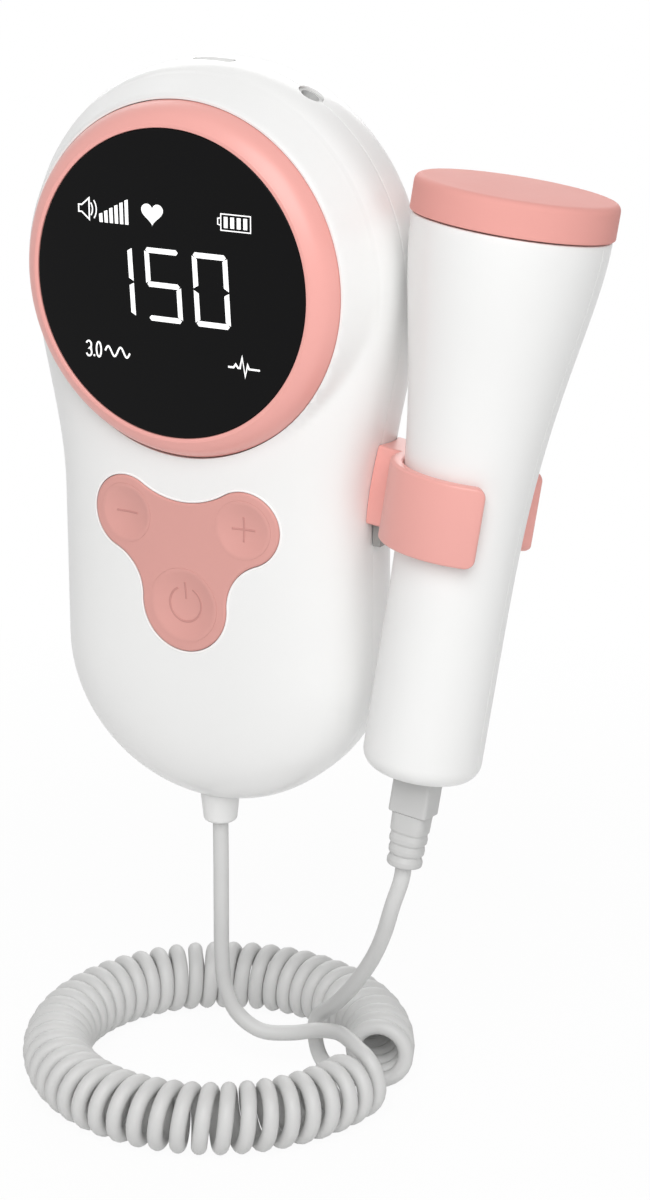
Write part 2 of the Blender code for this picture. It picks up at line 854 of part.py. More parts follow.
def make_sockets():
    mouth = -jack_sink
    shoulder = -wall - jack_shoulder_gap
    profile = (
        (jack_bore_radius, mouth), (jack_mouth_radius, mouth),
        (jack_mouth_radius, shoulder), (jack_body_radius, shoulder),
        (jack_body_radius, -jack_length), (0.0, -jack_length),
        (0.0, -jack_bore_depth), (jack_bore_radius, -jack_bore_depth),
    )
    smooth(turned("earphone_jack", profile, jack_matrix, black_plastic, steps=small_steps))
    port = prism("charge_port", slot_outline(port_thickness, port_width),
                 -port_sink - port_depth, -port_sink, port_matrix, steel)
    hollow = prism("port_hollow",
                   slot_outline(port_thickness - 2 * port_wall, port_width - 2 * port_wall),
                   -port_sink - port_cavity_depth, overrun, port_matrix)
    tongue = (port_width - port_thickness - 2 * port_wall) / 2
    boolean(hollow, box("port_tongue", (-tongue, -port_tongue / 2, -overrun),
                        (tongue, port_tongue / 2, -port_sink - port_wall), port_matrix))
    boolean(port, hollow)
    smooth(port)


def make_gland():
    place = Matrix.Translation(Vector((0.0, -gland_height, -housing_height / 2)))
    top = gland_inside + gland_flange_thickness
    profile = [
        (0.0, top), (gland_radius + gland_flange, top),
        (gland_radius + gland_flange, gland_inside), (gland_radius, gland_inside),
        (gland_radius, 0.0),
    ]
    centre = (gland_tip_radius - gland_round, gland_round - gland_length)
    profile += arc(centre, gland_round, 0.0, -quarter_turn, edge_steps)
    profile.append((0.0, -gland_length))
    smooth(turned("cord_gland", profile, place, grey_rubber, steps=relief_steps))


def make_handle_shells():
    low = -probe_below_clip
    high = probe_above_clip
    hole = math.hypot(tongue_width, tongue_depth) / 2 + gap
    outer = arc((grip_radius - probe_end_round, low + probe_end_round), probe_end_round,
                -quarter_turn, 0.0, edge_steps)
    levels = [low + probe_end_round + (high - low - probe_end_round) * k / handle_rings
              for k in range(1, handle_rings + 1)]
    outer += [(handle_radius(level), level) for level in levels]
    floor = low + probe_floor
    inner_levels = [floor + probe_wall + (high - floor - probe_wall) * k / bore_rings
                    for k in range(bore_rings + 1)]
    inner = [(handle_radius(level) - probe_wall, level) for level in reversed(inner_levels)]
    inner.append((grip_radius - 2 * probe_wall, floor))
    profile = [(hole, low)] + outer + inner + [(hole, floor)]
    far = neck_radius + overrun
    halves = (
        ("probe_shell_front", (-far, -gap / 2, low - overrun), (far, far, high + overrun)),
        ("probe_shell_rear", (-far, -far, low - overrun), (far, gap / 2, high + overrun)),
    )
    for name, corner, opposite in halves:
        half = turned(name, profile, probe_frame_matrix, white_plastic, steps=probe_steps)
        boolean(half, box(name + "_split", corner, opposite, probe_frame_matrix))
        smooth(half)


def make_probe_cap():
    low = probe_above_clip + gap
    high = low + cap_height
    spigot = handle_radius(probe_above_clip - 2 * cap_spigot_length) - probe_wall - gap
    bed = crystal_radius + gap
    profile = [(bed, low - cap_spigot_length), (spigot, low - cap_spigot_length), (spigot, low),
               (cap_radius, low)]
    profile += arc((cap_radius - cap_round, high - cap_round), cap_round, 0.0, quarter_turn,
                   edge_steps)
    profile += [(0.0, high), (0.0, high - cap_face_thickness), (bed, high - cap_face_thickness)]
    smooth(turned("probe_cap", profile, probe_frame_matrix, pink_plastic, steps=probe_steps))
    top = high - cap_face_thickness - gap
    smooth(rod("transducer_disc", crystal_radius, (0.0, 0.0), top - crystal_thickness, top,
               probe_frame_matrix, brass, steps=key_steps))


def make_probe_inside():
    floor = probe_floor - probe_below_clip + gap
    half = tongue_width / 2 + socket_wall
    deep = tongue_depth / 2 + socket_wall
    roof = tongue_length - probe_below_clip + gap + socket_roof
    socket = box("probe_socket", (-half, -deep, floor), (half, deep, roof),
                 probe_frame_matrix, black_plastic)
    boolean(socket, box("socket_slot",
                        (-tongue_width / 2 - gap, -tongue_depth / 2 - gap, floor - overrun),
                        (tongue_width / 2 + gap, tongue_depth / 2 + gap,
                         tongue_length - probe_below_clip + gap),
                        probe_frame_matrix))
    half = grip_radius - probe_wall - probe_board_side_gap
    box("probe_board", (-half, -probe_board_thickness / 2, roof + gap),
        (half, probe_board_thickness / 2, probe_above_clip - probe_board_head_room),
        probe_frame_matrix, green_board)


def make_plug():
    top = -probe_below_clip - gap
    tongue_low = top + gap
    box("plug_tongue", (-tongue_width / 2, -tongue_depth / 2, tongue_low),
        (tongue_width / 2, tongue_depth / 2, tongue_low + tongue_length), probe_frame_matrix,
        steel)
    housing = box("plug_housing", (-plug_width / 2, -plug_depth / 2, top - plug_height),
                  (plug_width / 2, plug_depth / 2, top), probe_frame_matrix, grey_rubber)
    bevel(housing, plug_round, 3)
    smooth(housing)
    high = top - plug_height - gap
    profile = [(0.0, high), (relief_radius, high)]
    level = high - relief_collar
    for k in range(relief_ribs):
        profile += [
            (relief_radius, level), (relief_radius - rib_groove, level - rib_groove / 2),
            (relief_radius - rib_groove, level - rib_groove),
            (relief_radius, level - 2 * rib_groove),
        ]
        level -= rib_pitch
    centre = (relief_radius - relief_end_round, high - relief_length + relief_end_round)
    profile += arc(centre, relief_end_round, 0.0, -quarter_turn, edge_steps)
    profile.append((0.0, high - relief_length))
    smooth(turned("strain_relief", profile, probe_frame_matrix, grey_rubber,
                  steps=relief_steps))
    return high - relief_length


def clip_outline():
    """Open ring around the probe, with round lips at its mouth."""
    outer = clip_bore_radius + clip_wall
    middle = clip_bore_radius + clip_wall / 2
    start = clip_back_lip_angle
    end = 2 * math.pi - clip_front_lip_angle
    points = arc((0.0, 0.0), outer, start, end, clip_steps)
    lip = (middle * math.cos(end), middle * math.sin(end))
    points += arc(lip, clip_wall / 2, end, end + math.pi, lip_steps)[1:-1]
    points += arc((0.0, 0.0), clip_bore_radius, end, start, clip_steps)
    lip = (middle * math.cos(start), middle * math.sin(start))
    points += arc(lip, clip_wall / 2, start + math.pi, start + 2 * math.pi, lip_steps)[1:-1]
    return points


def make_clip():
    low = -clip_drop - clip_height / 2
    high = low + clip_height
    rail_back = rail_front + rail_width
    rail_bottom = rail_top - rail_length
    rail = box("clip_rail", (waist_half_width - wall, rail_front, rail_bottom),
               (rail_outer, rail_back, rail_top), None, grey_plastic)
    clear_form = pebble("beside_housing", -gap)
    boolean(rail, clear_form)
    clip = prism("probe_clip", clip_outline(), low, high, probe_frame_matrix, pink_plastic)
    bevel(clip, clip_edge_round)
    foot = box("clip_foot", (-clip_foot_reach, 0.0, low),
               (-clip_foot_root, clip_foot_width, high), probe_frame_matrix)
    bevel(foot, clip_edge_round)
    boolean(foot, rod("probe_way", clip_bore_radius + clip_wall / 2, (0.0, 0.0),
                      low - overrun, high + overrun, probe_frame_matrix, steps=round_steps))
    boolean(clip, foot, "UNION")
    boolean(clip, clear_form)
    boolean(clip, box("rail_way",
                      (waist_half_width - wall, rail_front - gap, rail_bottom - overrun),
                      (rail_outer + gap, rail_back + gap, rail_top + gap)))
    smooth(clip)


def helix_point(share):
    """Point of the curly cord: a helix whose axis runs round a level ring."""
    turns = curl_count + (curl_start_angle - curl_end_angle) / (2 * math.pi)
    around = coil_start_angle - coil_sweep * share
    curl = curl_start_angle - 2 * math.pi * turns * share
    reach = coil_radius + curl_radius * math.cos(curl)
    level = floor_level + cord_diameter / 2 + curl_radius + curl_radius * math.sin(curl)
    return Vector((coil_centre_x + reach * math.cos(around),
                   coil_centre_y + reach * math.sin(around), level))


def smooth_route(points, step):
    """Centripetal Catmull-Rom curve through the points, read at an even step."""
    knots = [points[0] * 2 - points[1]] + list(points) + [points[-1] * 2 - points[-2]]
    dense = []
    for k in range(1, len(knots) - 2):
        p0, p1, p2, p3 = knots[k - 1:k + 3]
        t0 = 0.0
        t1 = t0 + math.sqrt((p1 - p0).length)
        t2 = t1 + math.sqrt((p2 - p1).length)
        t3 = t2 + math.sqrt((p3 - p2).length)
        for n in range(route_fineness):
            t = t1 + (t2 - t1) * n / route_fineness
            a1 = p0 * ((t1 - t) / (t1 - t0)) + p1 * ((t - t0) / (t1 - t0))
            a2 = p1 * ((t2 - t) / (t2 - t1)) + p2 * ((t - t1) / (t2 - t1))
            a3 = p2 * ((t3 - t) / (t3 - t2)) + p3 * ((t - t2) / (t3 - t2))
            b1 = a1 * ((t2 - t) / (t2 - t0)) + a2 * ((t - t0) / (t2 - t0))
            b2 = a2 * ((t3 - t) / (t3 - t1)) + a3 * ((t - t1) / (t3 - t1))
            dense.append(b1 * ((t2 - t) / (t2 - t1)) + b2 * ((t - t1) / (t2 - t1)))
    dense.append(points[-1])
    run = [0.0]
    for first, second in zip(dense, dense[1:]):
        run.append(run[-1] + (second - first).length)
    count = max(2, round(run[-1] / step))
    marks = np.linspace(0.0, run[-1], count + 1)
    columns = [np.interp(marks, run, [p[axis] for p in dense]) for axis in range(3)]
    return [Vector(row) for row in zip(*columns)], run[-1]


def tube(name, points, bevel_resolution):
    curve = bpy.data.curves.new(name, "CURVE")
    curve.dimensions = "3D"
    curve.bevel_depth = cord_diameter / 2
    curve.bevel_resolution = bevel_resolution
    curve.use_fill_caps = True
    spline = curve.splines.new("POLY")
    spline.points.add(len(points) - 1)
    for place, point in zip(spline.points, points):
        place.co = (*point, 1.0)
    return new_object(name, curve, Matrix.Identity(4), grey_rubber)


def least_gap(points, curl_length):
    """Least clear gap of a tube to itself, between stretches more than half a curl apart."""
    places = np.array([tuple(p) for p in points])
    steps = np.linalg.norm(np.diff(places, axis=0), axis=1)
    dense = []
    for k in range(len(places) - 1):
        for share in (0.0, 0.25, 0.5, 0.75):
            dense.append(places[k] * (1 - share) + places[k + 1] * share)
    dense = np.array(dense)
    skip = int(curl_length / 2 / (steps.mean() / 4))
    least = np.inf
    for k in range(len(dense) - skip):
        least = min(least, np.linalg.norm(dense[k + skip:] - dense[k], axis=1).min())
    return least - cord_diameter


def make_cord(relief_end):
    count = curl_points * curl_count + round(
        curl_points * (curl_start_angle - curl_end_angle) / (2 * math.pi))
    helix = [helix_point(k / count) for k in range(count + 1)]
    nudge = tangent_nudge / count
    start_way = (helix_point(nudge) - helix[0]).normalized()
    end_way = (helix[-1] - helix_point(1 - nudge)).normalized()
    coil = [helix[0] - start_way * cord_diameter] + helix + [helix[-1] + end_way * cord_diameter]
    tube("cord_coil", coil, 1)
    curl_length = math.hypot(2 * math.pi * curl_radius,
                             coil_radius * coil_sweep / curl_count)
    print("least gap of the curls (mm):", round(least_gap(coil, curl_length) / mm, 3))

    gland_end = Vector((0.0, -gland_height, -housing_height / 2 - gland_length - gap))
    down = Vector((0.0, 0.0, -cord_diameter))
    meet = coil[0] - start_way * gap
    before = meet - start_way * cord_diameter
    points, unit_length = smooth_route(
        [gland_end, gland_end + down, *unit_lead_route, before, meet], lead_step)
    tube("cord_unit_lead", points, 2)
    unit_points = points

    relief_exit = probe_frame_matrix @ Vector((0.0, 0.0, relief_end - gap))
    meet = coil[-1] + end_way * gap
    before = meet + end_way * cord_diameter
    points, probe_length = smooth_route(
        [relief_exit, relief_exit - probe_axis * cord_diameter, *probe_lead_route, before, meet],
        lead_step)
    tube("cord_probe_lead", points, 2)
    coil_length = sum((b - a).length for a, b in zip(coil, coil[1:]))
    print("cord lengths (mm): unit lead", round(unit_length / mm, 1),
          "coil", round(coil_length / mm, 1), "probe lead", round(probe_length / mm, 1))
    clear = min((a - b).length for a in unit_points for b in points)
    print("leads pass each other with (mm):", round((clear - cord_diameter) / mm, 2))
    for label, lead in (("unit", unit_points[:-2]), ("probe", points[:-2])):
        clear = min((a - b).length for a in lead for b in helix)
        print("least gap of the", label, "lead to the curls (mm):",
              round((clear - cord_diameter) / mm, 2))


clear_scene()
parts = new_collection("fetal_doppler")
cutters = new_collection("cutters")

white_plastic = new_material("white_plastic", (0.86, 0.86, 0.86), 0.32)
pink_plastic = new_material("pink_plastic", (0.86, 0.42, 0.38), 0.38)
pink_rubber = new_material("pink_rubber", (0.76, 0.38, 0.35), 0.55)
black_glass = new_material("black_glass", (0.012, 0.012, 0.013), 0.08)
grey_rubber = new_material("grey_rubber", (0.62, 0.62, 0.61), 0.5)
grey_plastic = new_material("grey_plastic", (0.4, 0.41, 0.4), 0.5)
black_plastic = new_material("black_plastic", (0.03, 0.03, 0.03), 0.5)
frame_white = new_material("frame_white", (0.75, 0.75, 0.72), 0.5)
lcd_grey = new_material("lcd_grey", (0.1, 0.11, 0.12), 0.3)
green_board = new_material("green_board", (0.02, 0.2, 0.08), 0.45)
battery_grey = new_material("battery_grey", (0.45, 0.47, 0.5), 0.4)
steel = new_material("steel", (0.6, 0.6, 0.6), 0.3, 1.0)
brass = new_material("brass", (0.7, 0.55, 0.25), 0.35, 1.0)

jack_out = Vector((math.cos(jack_angle), 0.0, math.sin(jack_angle)))
jack_matrix = (
    Matrix.Translation(Vector((0.0, -seam_height, display_z)) + jack_out * head_radius)
    @ Matrix.Rotation(quarter_turn - jack_angle, 4, "Y")
)
port_y = -(board_rear_height - gap - port_thickness / 2)
port_matrix = Matrix.Translation(Vector((0.0, port_y, housing_height / 2)))
cavity_form = pebble("housing_cavity", wall)
shared_cutters = socket_cutters()

make_front_shell()
make_rear_cover()
make_screws()
make_display()
make_keypad()
make_board()
make_speaker_and_battery()
make_sockets()
make_gland()
make_handle_shells()
make_probe_cap()
make_probe_inside()
relief_bottom = make_plug()
make_clip()
make_cord(relief_bottom)
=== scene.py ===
import math

import bmesh
import bpy
import numpy as np
from mathutils import Matrix, Vector


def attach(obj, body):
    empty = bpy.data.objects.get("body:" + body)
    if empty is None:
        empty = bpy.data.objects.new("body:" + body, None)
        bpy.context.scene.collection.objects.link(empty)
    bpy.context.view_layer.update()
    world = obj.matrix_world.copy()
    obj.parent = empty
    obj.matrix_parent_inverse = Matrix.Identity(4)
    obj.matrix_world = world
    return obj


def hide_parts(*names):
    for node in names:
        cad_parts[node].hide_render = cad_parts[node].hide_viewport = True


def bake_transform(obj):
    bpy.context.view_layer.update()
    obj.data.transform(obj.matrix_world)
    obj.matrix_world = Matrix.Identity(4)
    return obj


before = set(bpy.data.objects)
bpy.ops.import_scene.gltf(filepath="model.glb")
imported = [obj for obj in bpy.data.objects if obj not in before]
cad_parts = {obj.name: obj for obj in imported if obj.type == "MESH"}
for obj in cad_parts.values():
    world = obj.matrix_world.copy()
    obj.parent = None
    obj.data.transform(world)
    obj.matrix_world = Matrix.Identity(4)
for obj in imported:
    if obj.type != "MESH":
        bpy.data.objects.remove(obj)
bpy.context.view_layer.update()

# %% [markdown]
# Camera. It stands in front of the display unit, 29 degrees round to its right and 18 degrees up.
# The angles can be read off three round things, the display's ring, the probe's head and the ring
# of curls, because each shows as an ellipse whose proportions give its tilt. Matching the two ends
# of the unit and of the probe then gives the distance, about half a metre.

# %% Camera
mm = 0.001
scene = bpy.context.scene


def added(name, data, location=(0.0, 0.0, 0.0), backward=None):
    """Object put into the scene, its own Z axis along backward if that is given."""
    item = bpy.data.objects.new(name, data)
    scene.collection.objects.link(item)
    item.location = location
    if backward is not None:
        item.rotation_mode = "QUATERNION"
        item.rotation_quaternion = Vector(backward).to_track_quat("Z", "Y")
    return item


azimuth, elevation = math.radians(29.0), math.radians(17.8)
camera_data = bpy.data.cameras.new("photo_camera")
camera_data.lens = 90.0
camera_data.sensor_width = 36.0
scene.camera = added("photo_camera", camera_data, (0.27436, -0.47104, 0.13956), (
    math.sin(azimuth) * math.cos(elevation), -math.cos(azimuth) * math.cos(elevation),
    math.sin(elevation)))
print("camera at", tuple(round(c, 4) for c in scene.camera.location))

# %% [markdown]
# Surfaces. Nearly every piece here is a grid of points, rows by columns, computed as whole arrays.
# The columns close on themselves, as round a bottle. The rows either close on themselves too, as on
# a ring, or end in a fan about their mean point. The faces are then turned so that the enclosed
# volume is positive, which makes every face look outwards.

# %% A closed surface from a grid
def surface(name, points, ring=False, sharp=None):
    """Mesh of points[row, column]: one quad between each four neighbours, columns closed.

    With ring set the last row joins the first, and otherwise both end rows get a fan about their
    mean point.
    """
    rows, columns = points.shape[:2]
    index = np.arange(rows * columns).reshape(rows, columns)
    index = np.concatenate([index, index[:, :1]], axis=1)
    if ring:
        index = np.concatenate([index, index[:1]], axis=0)
    quads = np.stack([index[:-1, :-1], index[:-1, 1:], index[1:, 1:], index[1:, :-1]], axis=-1)
    faces = quads.reshape(-1, 4).tolist()
    verts = points.reshape(-1, 3)
    if not ring:
        pole = np.full(columns, len(verts))
        verts = np.concatenate([verts, [points[0].mean(axis=0), points[-1].mean(axis=0)]])
        faces += np.stack([index[0, 1:], index[0, :-1], pole], axis=-1).tolist()
        faces += np.stack([index[-1, :-1], index[-1, 1:], pole + 1], axis=-1).tolist()
    return solid(name, verts, faces, sharp)


def solid(name, verts, faces, sharp=None):
    """Closed mesh object whose signed volume is made positive, shaded smooth.

    Edges steeper than sharp degrees stay crisp, if that is given.
    """
    mesh = bpy.data.meshes.new(name)
    mesh.from_pydata(np.asarray(verts).tolist(), [], faces)
    bm = bmesh.new()
    bm.from_mesh(mesh)
    if bm.calc_volume(signed=True) < 0:
        bmesh.ops.reverse_faces(bm, faces=bm.faces)
    bm.to_mesh(mesh)
    bm.free()
    mesh.shade_smooth()
    if sharp is not None:
        mesh.set_sharp_from_angle(angle=math.radians(sharp))
    return added(name, mesh)


def placed(points, matrix):
    """Points moved by a 4 by 4 matrix."""
    m = np.array(matrix)
    return points @ m[:3, :3].T + m[:3, 3]


def place_at(x, y, z):
    """Matrix that moves to a place."""
    return Matrix.Translation(Vector((x, y, z)))


def turned_by(degrees, axis):
    """Matrix that turns about one axis."""
    return Matrix.Rotation(math.radians(degrees), 4, axis)


# %% [markdown]
# Turned pieces. The ring, the lens, the probe and the sleeves are round, so each is a profile of
# radius and level carried round an axis. Corners of a moulded part are never sharp, so a profile
# can be given as a few corners with a radius each, and every corner becomes a small arc.

# %% Profiles and turning
def unit(rows):
    """Rows brought to length 1."""
    return rows / np.linalg.norm(rows, axis=-1, keepdims=True)


def full_turn(steps):
    """Even angles round a full turn."""
    return np.linspace(0.0, 2 * np.pi, steps, endpoint=False)


def circle(angle):
    """Rows (cos, sin) of the angles."""
    return np.stack([np.cos(angle), np.sin(angle)], axis=-1)


def swung(radius, level, angle):
    """Points (radius cos angle, radius sin angle, level)."""
    return np.stack(np.broadcast_arrays(radius * np.cos(angle), radius * np.sin(angle), level),
                    axis=-1)


def rounded(corners, steps=5):
    """Open profile whose corners (x, y, r) become arcs of radius r that touch both sides.

    The arc starts r / tan(half) before the corner, where half is half its inner angle. It is a
    quadratic curve through the two touching points with the corner as its handle.
    """
    c = np.array([corner[:2] for corner in corners], dtype=float)
    r = np.array([corner[2] if len(corner) > 2 else 0.0 for corner in corners])
    way = np.diff(c, axis=0)
    before, after = np.concatenate([way[:1], -way]), np.concatenate([way, -way[-1:]])
    shorter = np.minimum(np.linalg.norm(before, axis=1), np.linalg.norm(after, axis=1))
    before, after = unit(before), unit(after)
    half = np.arccos(np.clip((before * after).sum(axis=1), -1.0, 1.0)) / 2
    cut = np.minimum(r / np.maximum(np.tan(half), 1e-6), 0.49 * shorter)
    t = np.linspace(0.0, 1.0, steps)[None, :, None]
    start, end = ((c + side * cut[:, None])[:, None, :] for side in (before, after))
    arcs = (1 - t) ** 2 * start + 2 * t * (1 - t) * c[:, None, :] + t ** 2 * end
    return np.concatenate([arc if size > 0 else arc[:1] for arc, size in zip(arcs, cut)])


def turned(name, profile, matrix, steps, ring=False, sharp=None):
    """Profile rows (radius, level) carried round the matrix's Z axis at even angles."""
    points = swung(profile[:, :1], profile[:, 1:], full_turn(steps))
    return surface(name, placed(points, matrix), ring, sharp)


# %% [markdown]
# Prisms and cuts. Holes for the keys, sockets, screws and slots are cut with exact Booleans, as on
# the real mould a pin or an insert forms them. The cutter is a prism or a turned form that is
# removed after the cut, so that the finished mesh carries no live modifier.

# %% Prisms and cuts
crisp = 30.0


def prism(name, outlines, low, high, matrix, sharp=None):
    """Outlines of rows (x, y), each swept straight between two levels of the matrix's Z."""
    verts, faces, first = [], [], 0
    for outline in outlines:
        x, y = outline.T
        if np.sum(x * np.roll(y, -1) - y * np.roll(x, -1)) < 0:
            outline = outline[::-1]
        count = len(outline)
        index = np.arange(count) + first
        after = np.roll(index, -1)
        verts += [np.column_stack([outline, np.full(count, level)]) for level in (low, high)]
        faces += np.stack([index, after, after + count, index + count], axis=-1).tolist()
        faces += [index[::-1].tolist(), (index + count).tolist()]
        first += 2 * count
    return solid(name, placed(np.concatenate(verts), matrix), faces, sharp)


def cut(piece, cutters, operation="DIFFERENCE"):
    """Applies one exact Boolean per cutter to the piece, then removes the cutters."""
    for cutter in cutters:
        modifier = piece.modifiers.new(cutter.name, "BOOLEAN")
        modifier.operation = operation
        modifier.solver = "EXACT"
        modifier.object = cutter
    bpy.context.view_layer.update()
    ready = piece.evaluated_get(bpy.context.evaluated_depsgraph_get())
    mesh, old = bpy.data.meshes.new_from_object(ready), piece.data
    piece.modifiers.clear()
    piece.data = mesh
    bpy.data.meshes.remove(old)
    for cutter in cutters:
        bpy.data.objects.remove(cutter, do_unlink=True)
    bm = bmesh.new()
    bm.from_mesh(mesh)
    bmesh.ops.remove_doubles(bm, verts=bm.verts, dist=0.002 * mm)
    bm.to_mesh(mesh)
    bm.free()
    mesh.shade_smooth()
    mesh.set_sharp_from_angle(angle=math.radians(crisp))
    return piece


def finished(piece, body, material, nodes=()):
    """Gives a piece its material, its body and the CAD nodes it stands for."""
    piece.data.materials.clear()
    piece.data.materials.append(material)
    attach(piece, body)
    if nodes:
        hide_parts(*nodes)


# %% [markdown]
# Finishes. Each material is one Principled shader whose colour, roughness and bump come from small
# expressions. A wire is a socket that can be added, multiplied and subtracted, so a formula such as
# base + 0.05 * noise builds its own Math nodes. Colours are mixed with Mix nodes, because a Math
# node would turn them grey.

# %% Wires and finishes
class Wire:
    """A node's output socket, which arithmetic turns into Math nodes."""

    def __init__(self, network, socket):
        self.network, self.socket = network, socket

    def number(self, operation, *values):
        """Math node of the given values, in their order."""
        return self.network.node("ShaderNodeMath", {"operation": operation}, values)

    def __add__(self, other):
        return self.number("ADD", self, other)

    def __mul__(self, other):
        return self.number("MULTIPLY", self, other)

    def __sub__(self, other):
        return self.number("SUBTRACT", self, other)

    def __rsub__(self, other):
        return self.number("SUBTRACT", other, self)

    __radd__, __rmul__ = __add__, __mul__

    def most(self, other):
        """The greater of two values."""
        return self.number("MAXIMUM", self, other)


class Network:
    """A node tree that is written as formulas."""

    def __init__(self, tree):
        self.tree = tree

    def put(self, socket, value):
        """Links a wire to a socket, or else gives the socket that value."""
        if isinstance(value, Wire):
            self.tree.links.new(value.socket, socket)
        else:
            socket.default_value = value

    def node(self, kind, settings, values, output=0):
        """Any node: its type, its settings, and the values or wires of its sockets."""
        made = self.tree.nodes.new(kind)
        for setting, value in settings.items():
            setattr(made, setting, value)
        for key, value in values.items() if isinstance(values, dict) else enumerate(values):
            self.put(made.inputs[key], value)
        return Wire(self, made.outputs[output])

    def seen_by(self, *rays):
        """1 for the kinds of ray named, 0 for the others."""
        seen = 0.0
        for ray in rays:
            seen = self.node("ShaderNodeLightPath", {}, (), f"Is {ray} Ray").most(seen)
        return seen


class Finish(Network):
    """A material with one Principled shader, its colour given as it shows on a screen."""

    def __init__(self, name, colour, roughness, **constants):
        self.material = bpy.data.materials.new(name)
        self.material.use_nodes = True
        super().__init__(self.material.node_tree)
        self.shader = self.tree.nodes["Principled BSDF"]
        self.drive(Base_Color=screen(colour), Roughness=roughness, **constants)
        self.place = self.node("ShaderNodeTexCoord", {}, (), "Object")

    def drive(self, **sockets):
        """Gives the shader's own sockets a wire or a value."""
        for name, value in sockets.items():
            self.put(self.shader.inputs[name.replace("_", " ")], value)

    def noise(self, size, detail):
        """Cloudy value about 0.5 whose grains are about size metres across."""
        vector = self.node("ShaderNodeVectorMath", {"operation": "MULTIPLY"},
                           (self.place, (1 / size,) * 3))
        return self.node("ShaderNodeTexNoise", {"noise_dimensions": "3D"},
                         {"Vector": vector, "Scale": 1.0, "Detail": detail})

    def mix(self, share, first, second):
        """Colour between two, by share."""
        settings = {"data_type": "RGBA", "clamp_factor": True}
        return self.node("ShaderNodeMix", settings, {0: share, 6: first, 7: second}, output=2)

    def bump(self, height, distance):
        """Bump of a height wire between 0 and 1 that stands for distance metres."""
        return self.node("ShaderNodeBump", {}, {
            "Strength": 1.0, "Distance": distance, "Height": height})


def screen(colour, share=1.0):
    """Linear colour of screen values from 0 to 255, brought towards black by share."""
    c = np.array(colour, dtype=float) / 255.0
    linear = np.where(c <= 0.04045, c / 12.92, ((c + 0.055) / 1.055) ** 2.4) * share
    return (*linear.tolist(), 1.0)


def moulded(name, colour, roughness, grain, depth, tone=0.04, **constants):
    """Moulded plastic: a fine even texture, a slow drift of tone and a patchy gloss.

    Grain and depth are the texture's width and height in millimetres.
    """
    finish = Finish(name, colour, roughness, **constants)
    drift = finish.noise(18.0 * mm, 3.0)
    finish.drive(Base_Color=finish.mix(drift, screen(colour, 1.0 - tone), screen(colour)),
                 Roughness=(finish.noise(6.0 * mm, 4.0) - 0.5) * 0.12 + roughness,
                 Normal=finish.bump(finish.noise(grain * mm, 3.0), depth * mm))
    return finish.material


white = (1.0, 1.0, 1.0, 1.0)
white_shell = moulded("white_shell", (243, 243, 242), 0.36, 0.9, 0.003, 0.02,
                      Coat_Weight=0.25, Coat_Roughness=0.12)
pink_ring = moulded("pink_ring", (243, 173, 165), 0.34, 0.6, 0.006)
pink_clip = moulded("pink_clip", (238, 170, 162), 0.36, 0.6, 0.006)
pink_cap = moulded("pink_cap", (237, 168, 160), 0.55, 0.5, 0.006, Specular_IOR_Level=0.07)
pink_keys = moulded("pink_keys", (222, 162, 154), 0.5, 0.35, 0.012, Specular_IOR_Level=0.4)
pale_rubber = moulded("pale_rubber", (216, 216, 215), 0.48, 0.4, 0.012)
grey_rubber = moulded("grey_rubber", (204, 204, 203), 0.46, 0.4, 0.012)
# The clip's rail is grey-white. Its darker mid grey here is painted shade under the clip's foot.
rail_grey_painted_shade = moulded("rail_grey_painted_shade", (160, 160, 158), 0.42, 0.5, 0.01)
print("finishes", len(bpy.data.materials))

# %% [markdown]
# Cord. It leaves the gland at the unit's foot, runs into a loop of curls that lies on the floor, and
# climbs to the plug. The curls could be made by bending a helix round a ring: the ring's angle runs
# evenly while the wire's own angle makes some fifty turns. The two free leads are smooth curves
# through a few points that follow the photograph, and pass inside the ring.

# %% The cord's route
cord_diameter = 3.0 * mm
floor_level = -127.0 * mm
coil_centre = np.array([0.3, -19.0]) * mm
coil_radius = 31.3 * mm
curl_radius = 5.2 * mm
curl_turns = 50 + 195.0 / 360.0
points_a_curl = 24
lead_step = 0.9 * mm
probe_axis = unit(np.array([0.11199, 0.10875, 0.98774]))
probe_centre = np.array([50.805, -16.75, -4.0]) * mm


def curl(share):
    """Wire's point at a share of the curls.

    The ring angle is -2 - 339 share degrees and the curl angle 105 - 360 turns share degrees. The
    wire lies at coil radius + curl radius cos(curl) from the coil's centre, at the height curl
    radius sin(curl) over the middle of a curl that lies on the floor.
    """
    around = np.radians(-2.0 - 339.0 * share)
    turn = np.radians(105.0 - 360.0 * curl_turns * share)
    reach = coil_radius + curl_radius * np.cos(turn)
    level = floor_level + cord_diameter / 2 + curl_radius * (1 + np.sin(turn))
    return np.column_stack([coil_centre + reach[:, None] * circle(around), level])


def run_along(rows, power=1.0):
    """Way from the first row to each row, every step raised to a power."""
    steps = np.linalg.norm(np.diff(rows, axis=0), axis=1) ** power
    return np.concatenate([[0.0], np.cumsum(steps)])


def evenly(rows, count):
    """A line's rows read again at a count of even steps along it."""
    run = run_along(rows)
    even = np.linspace(0.0, run[-1], count)
    return np.stack([np.interp(even, run, column) for column in rows.T], axis=-1)


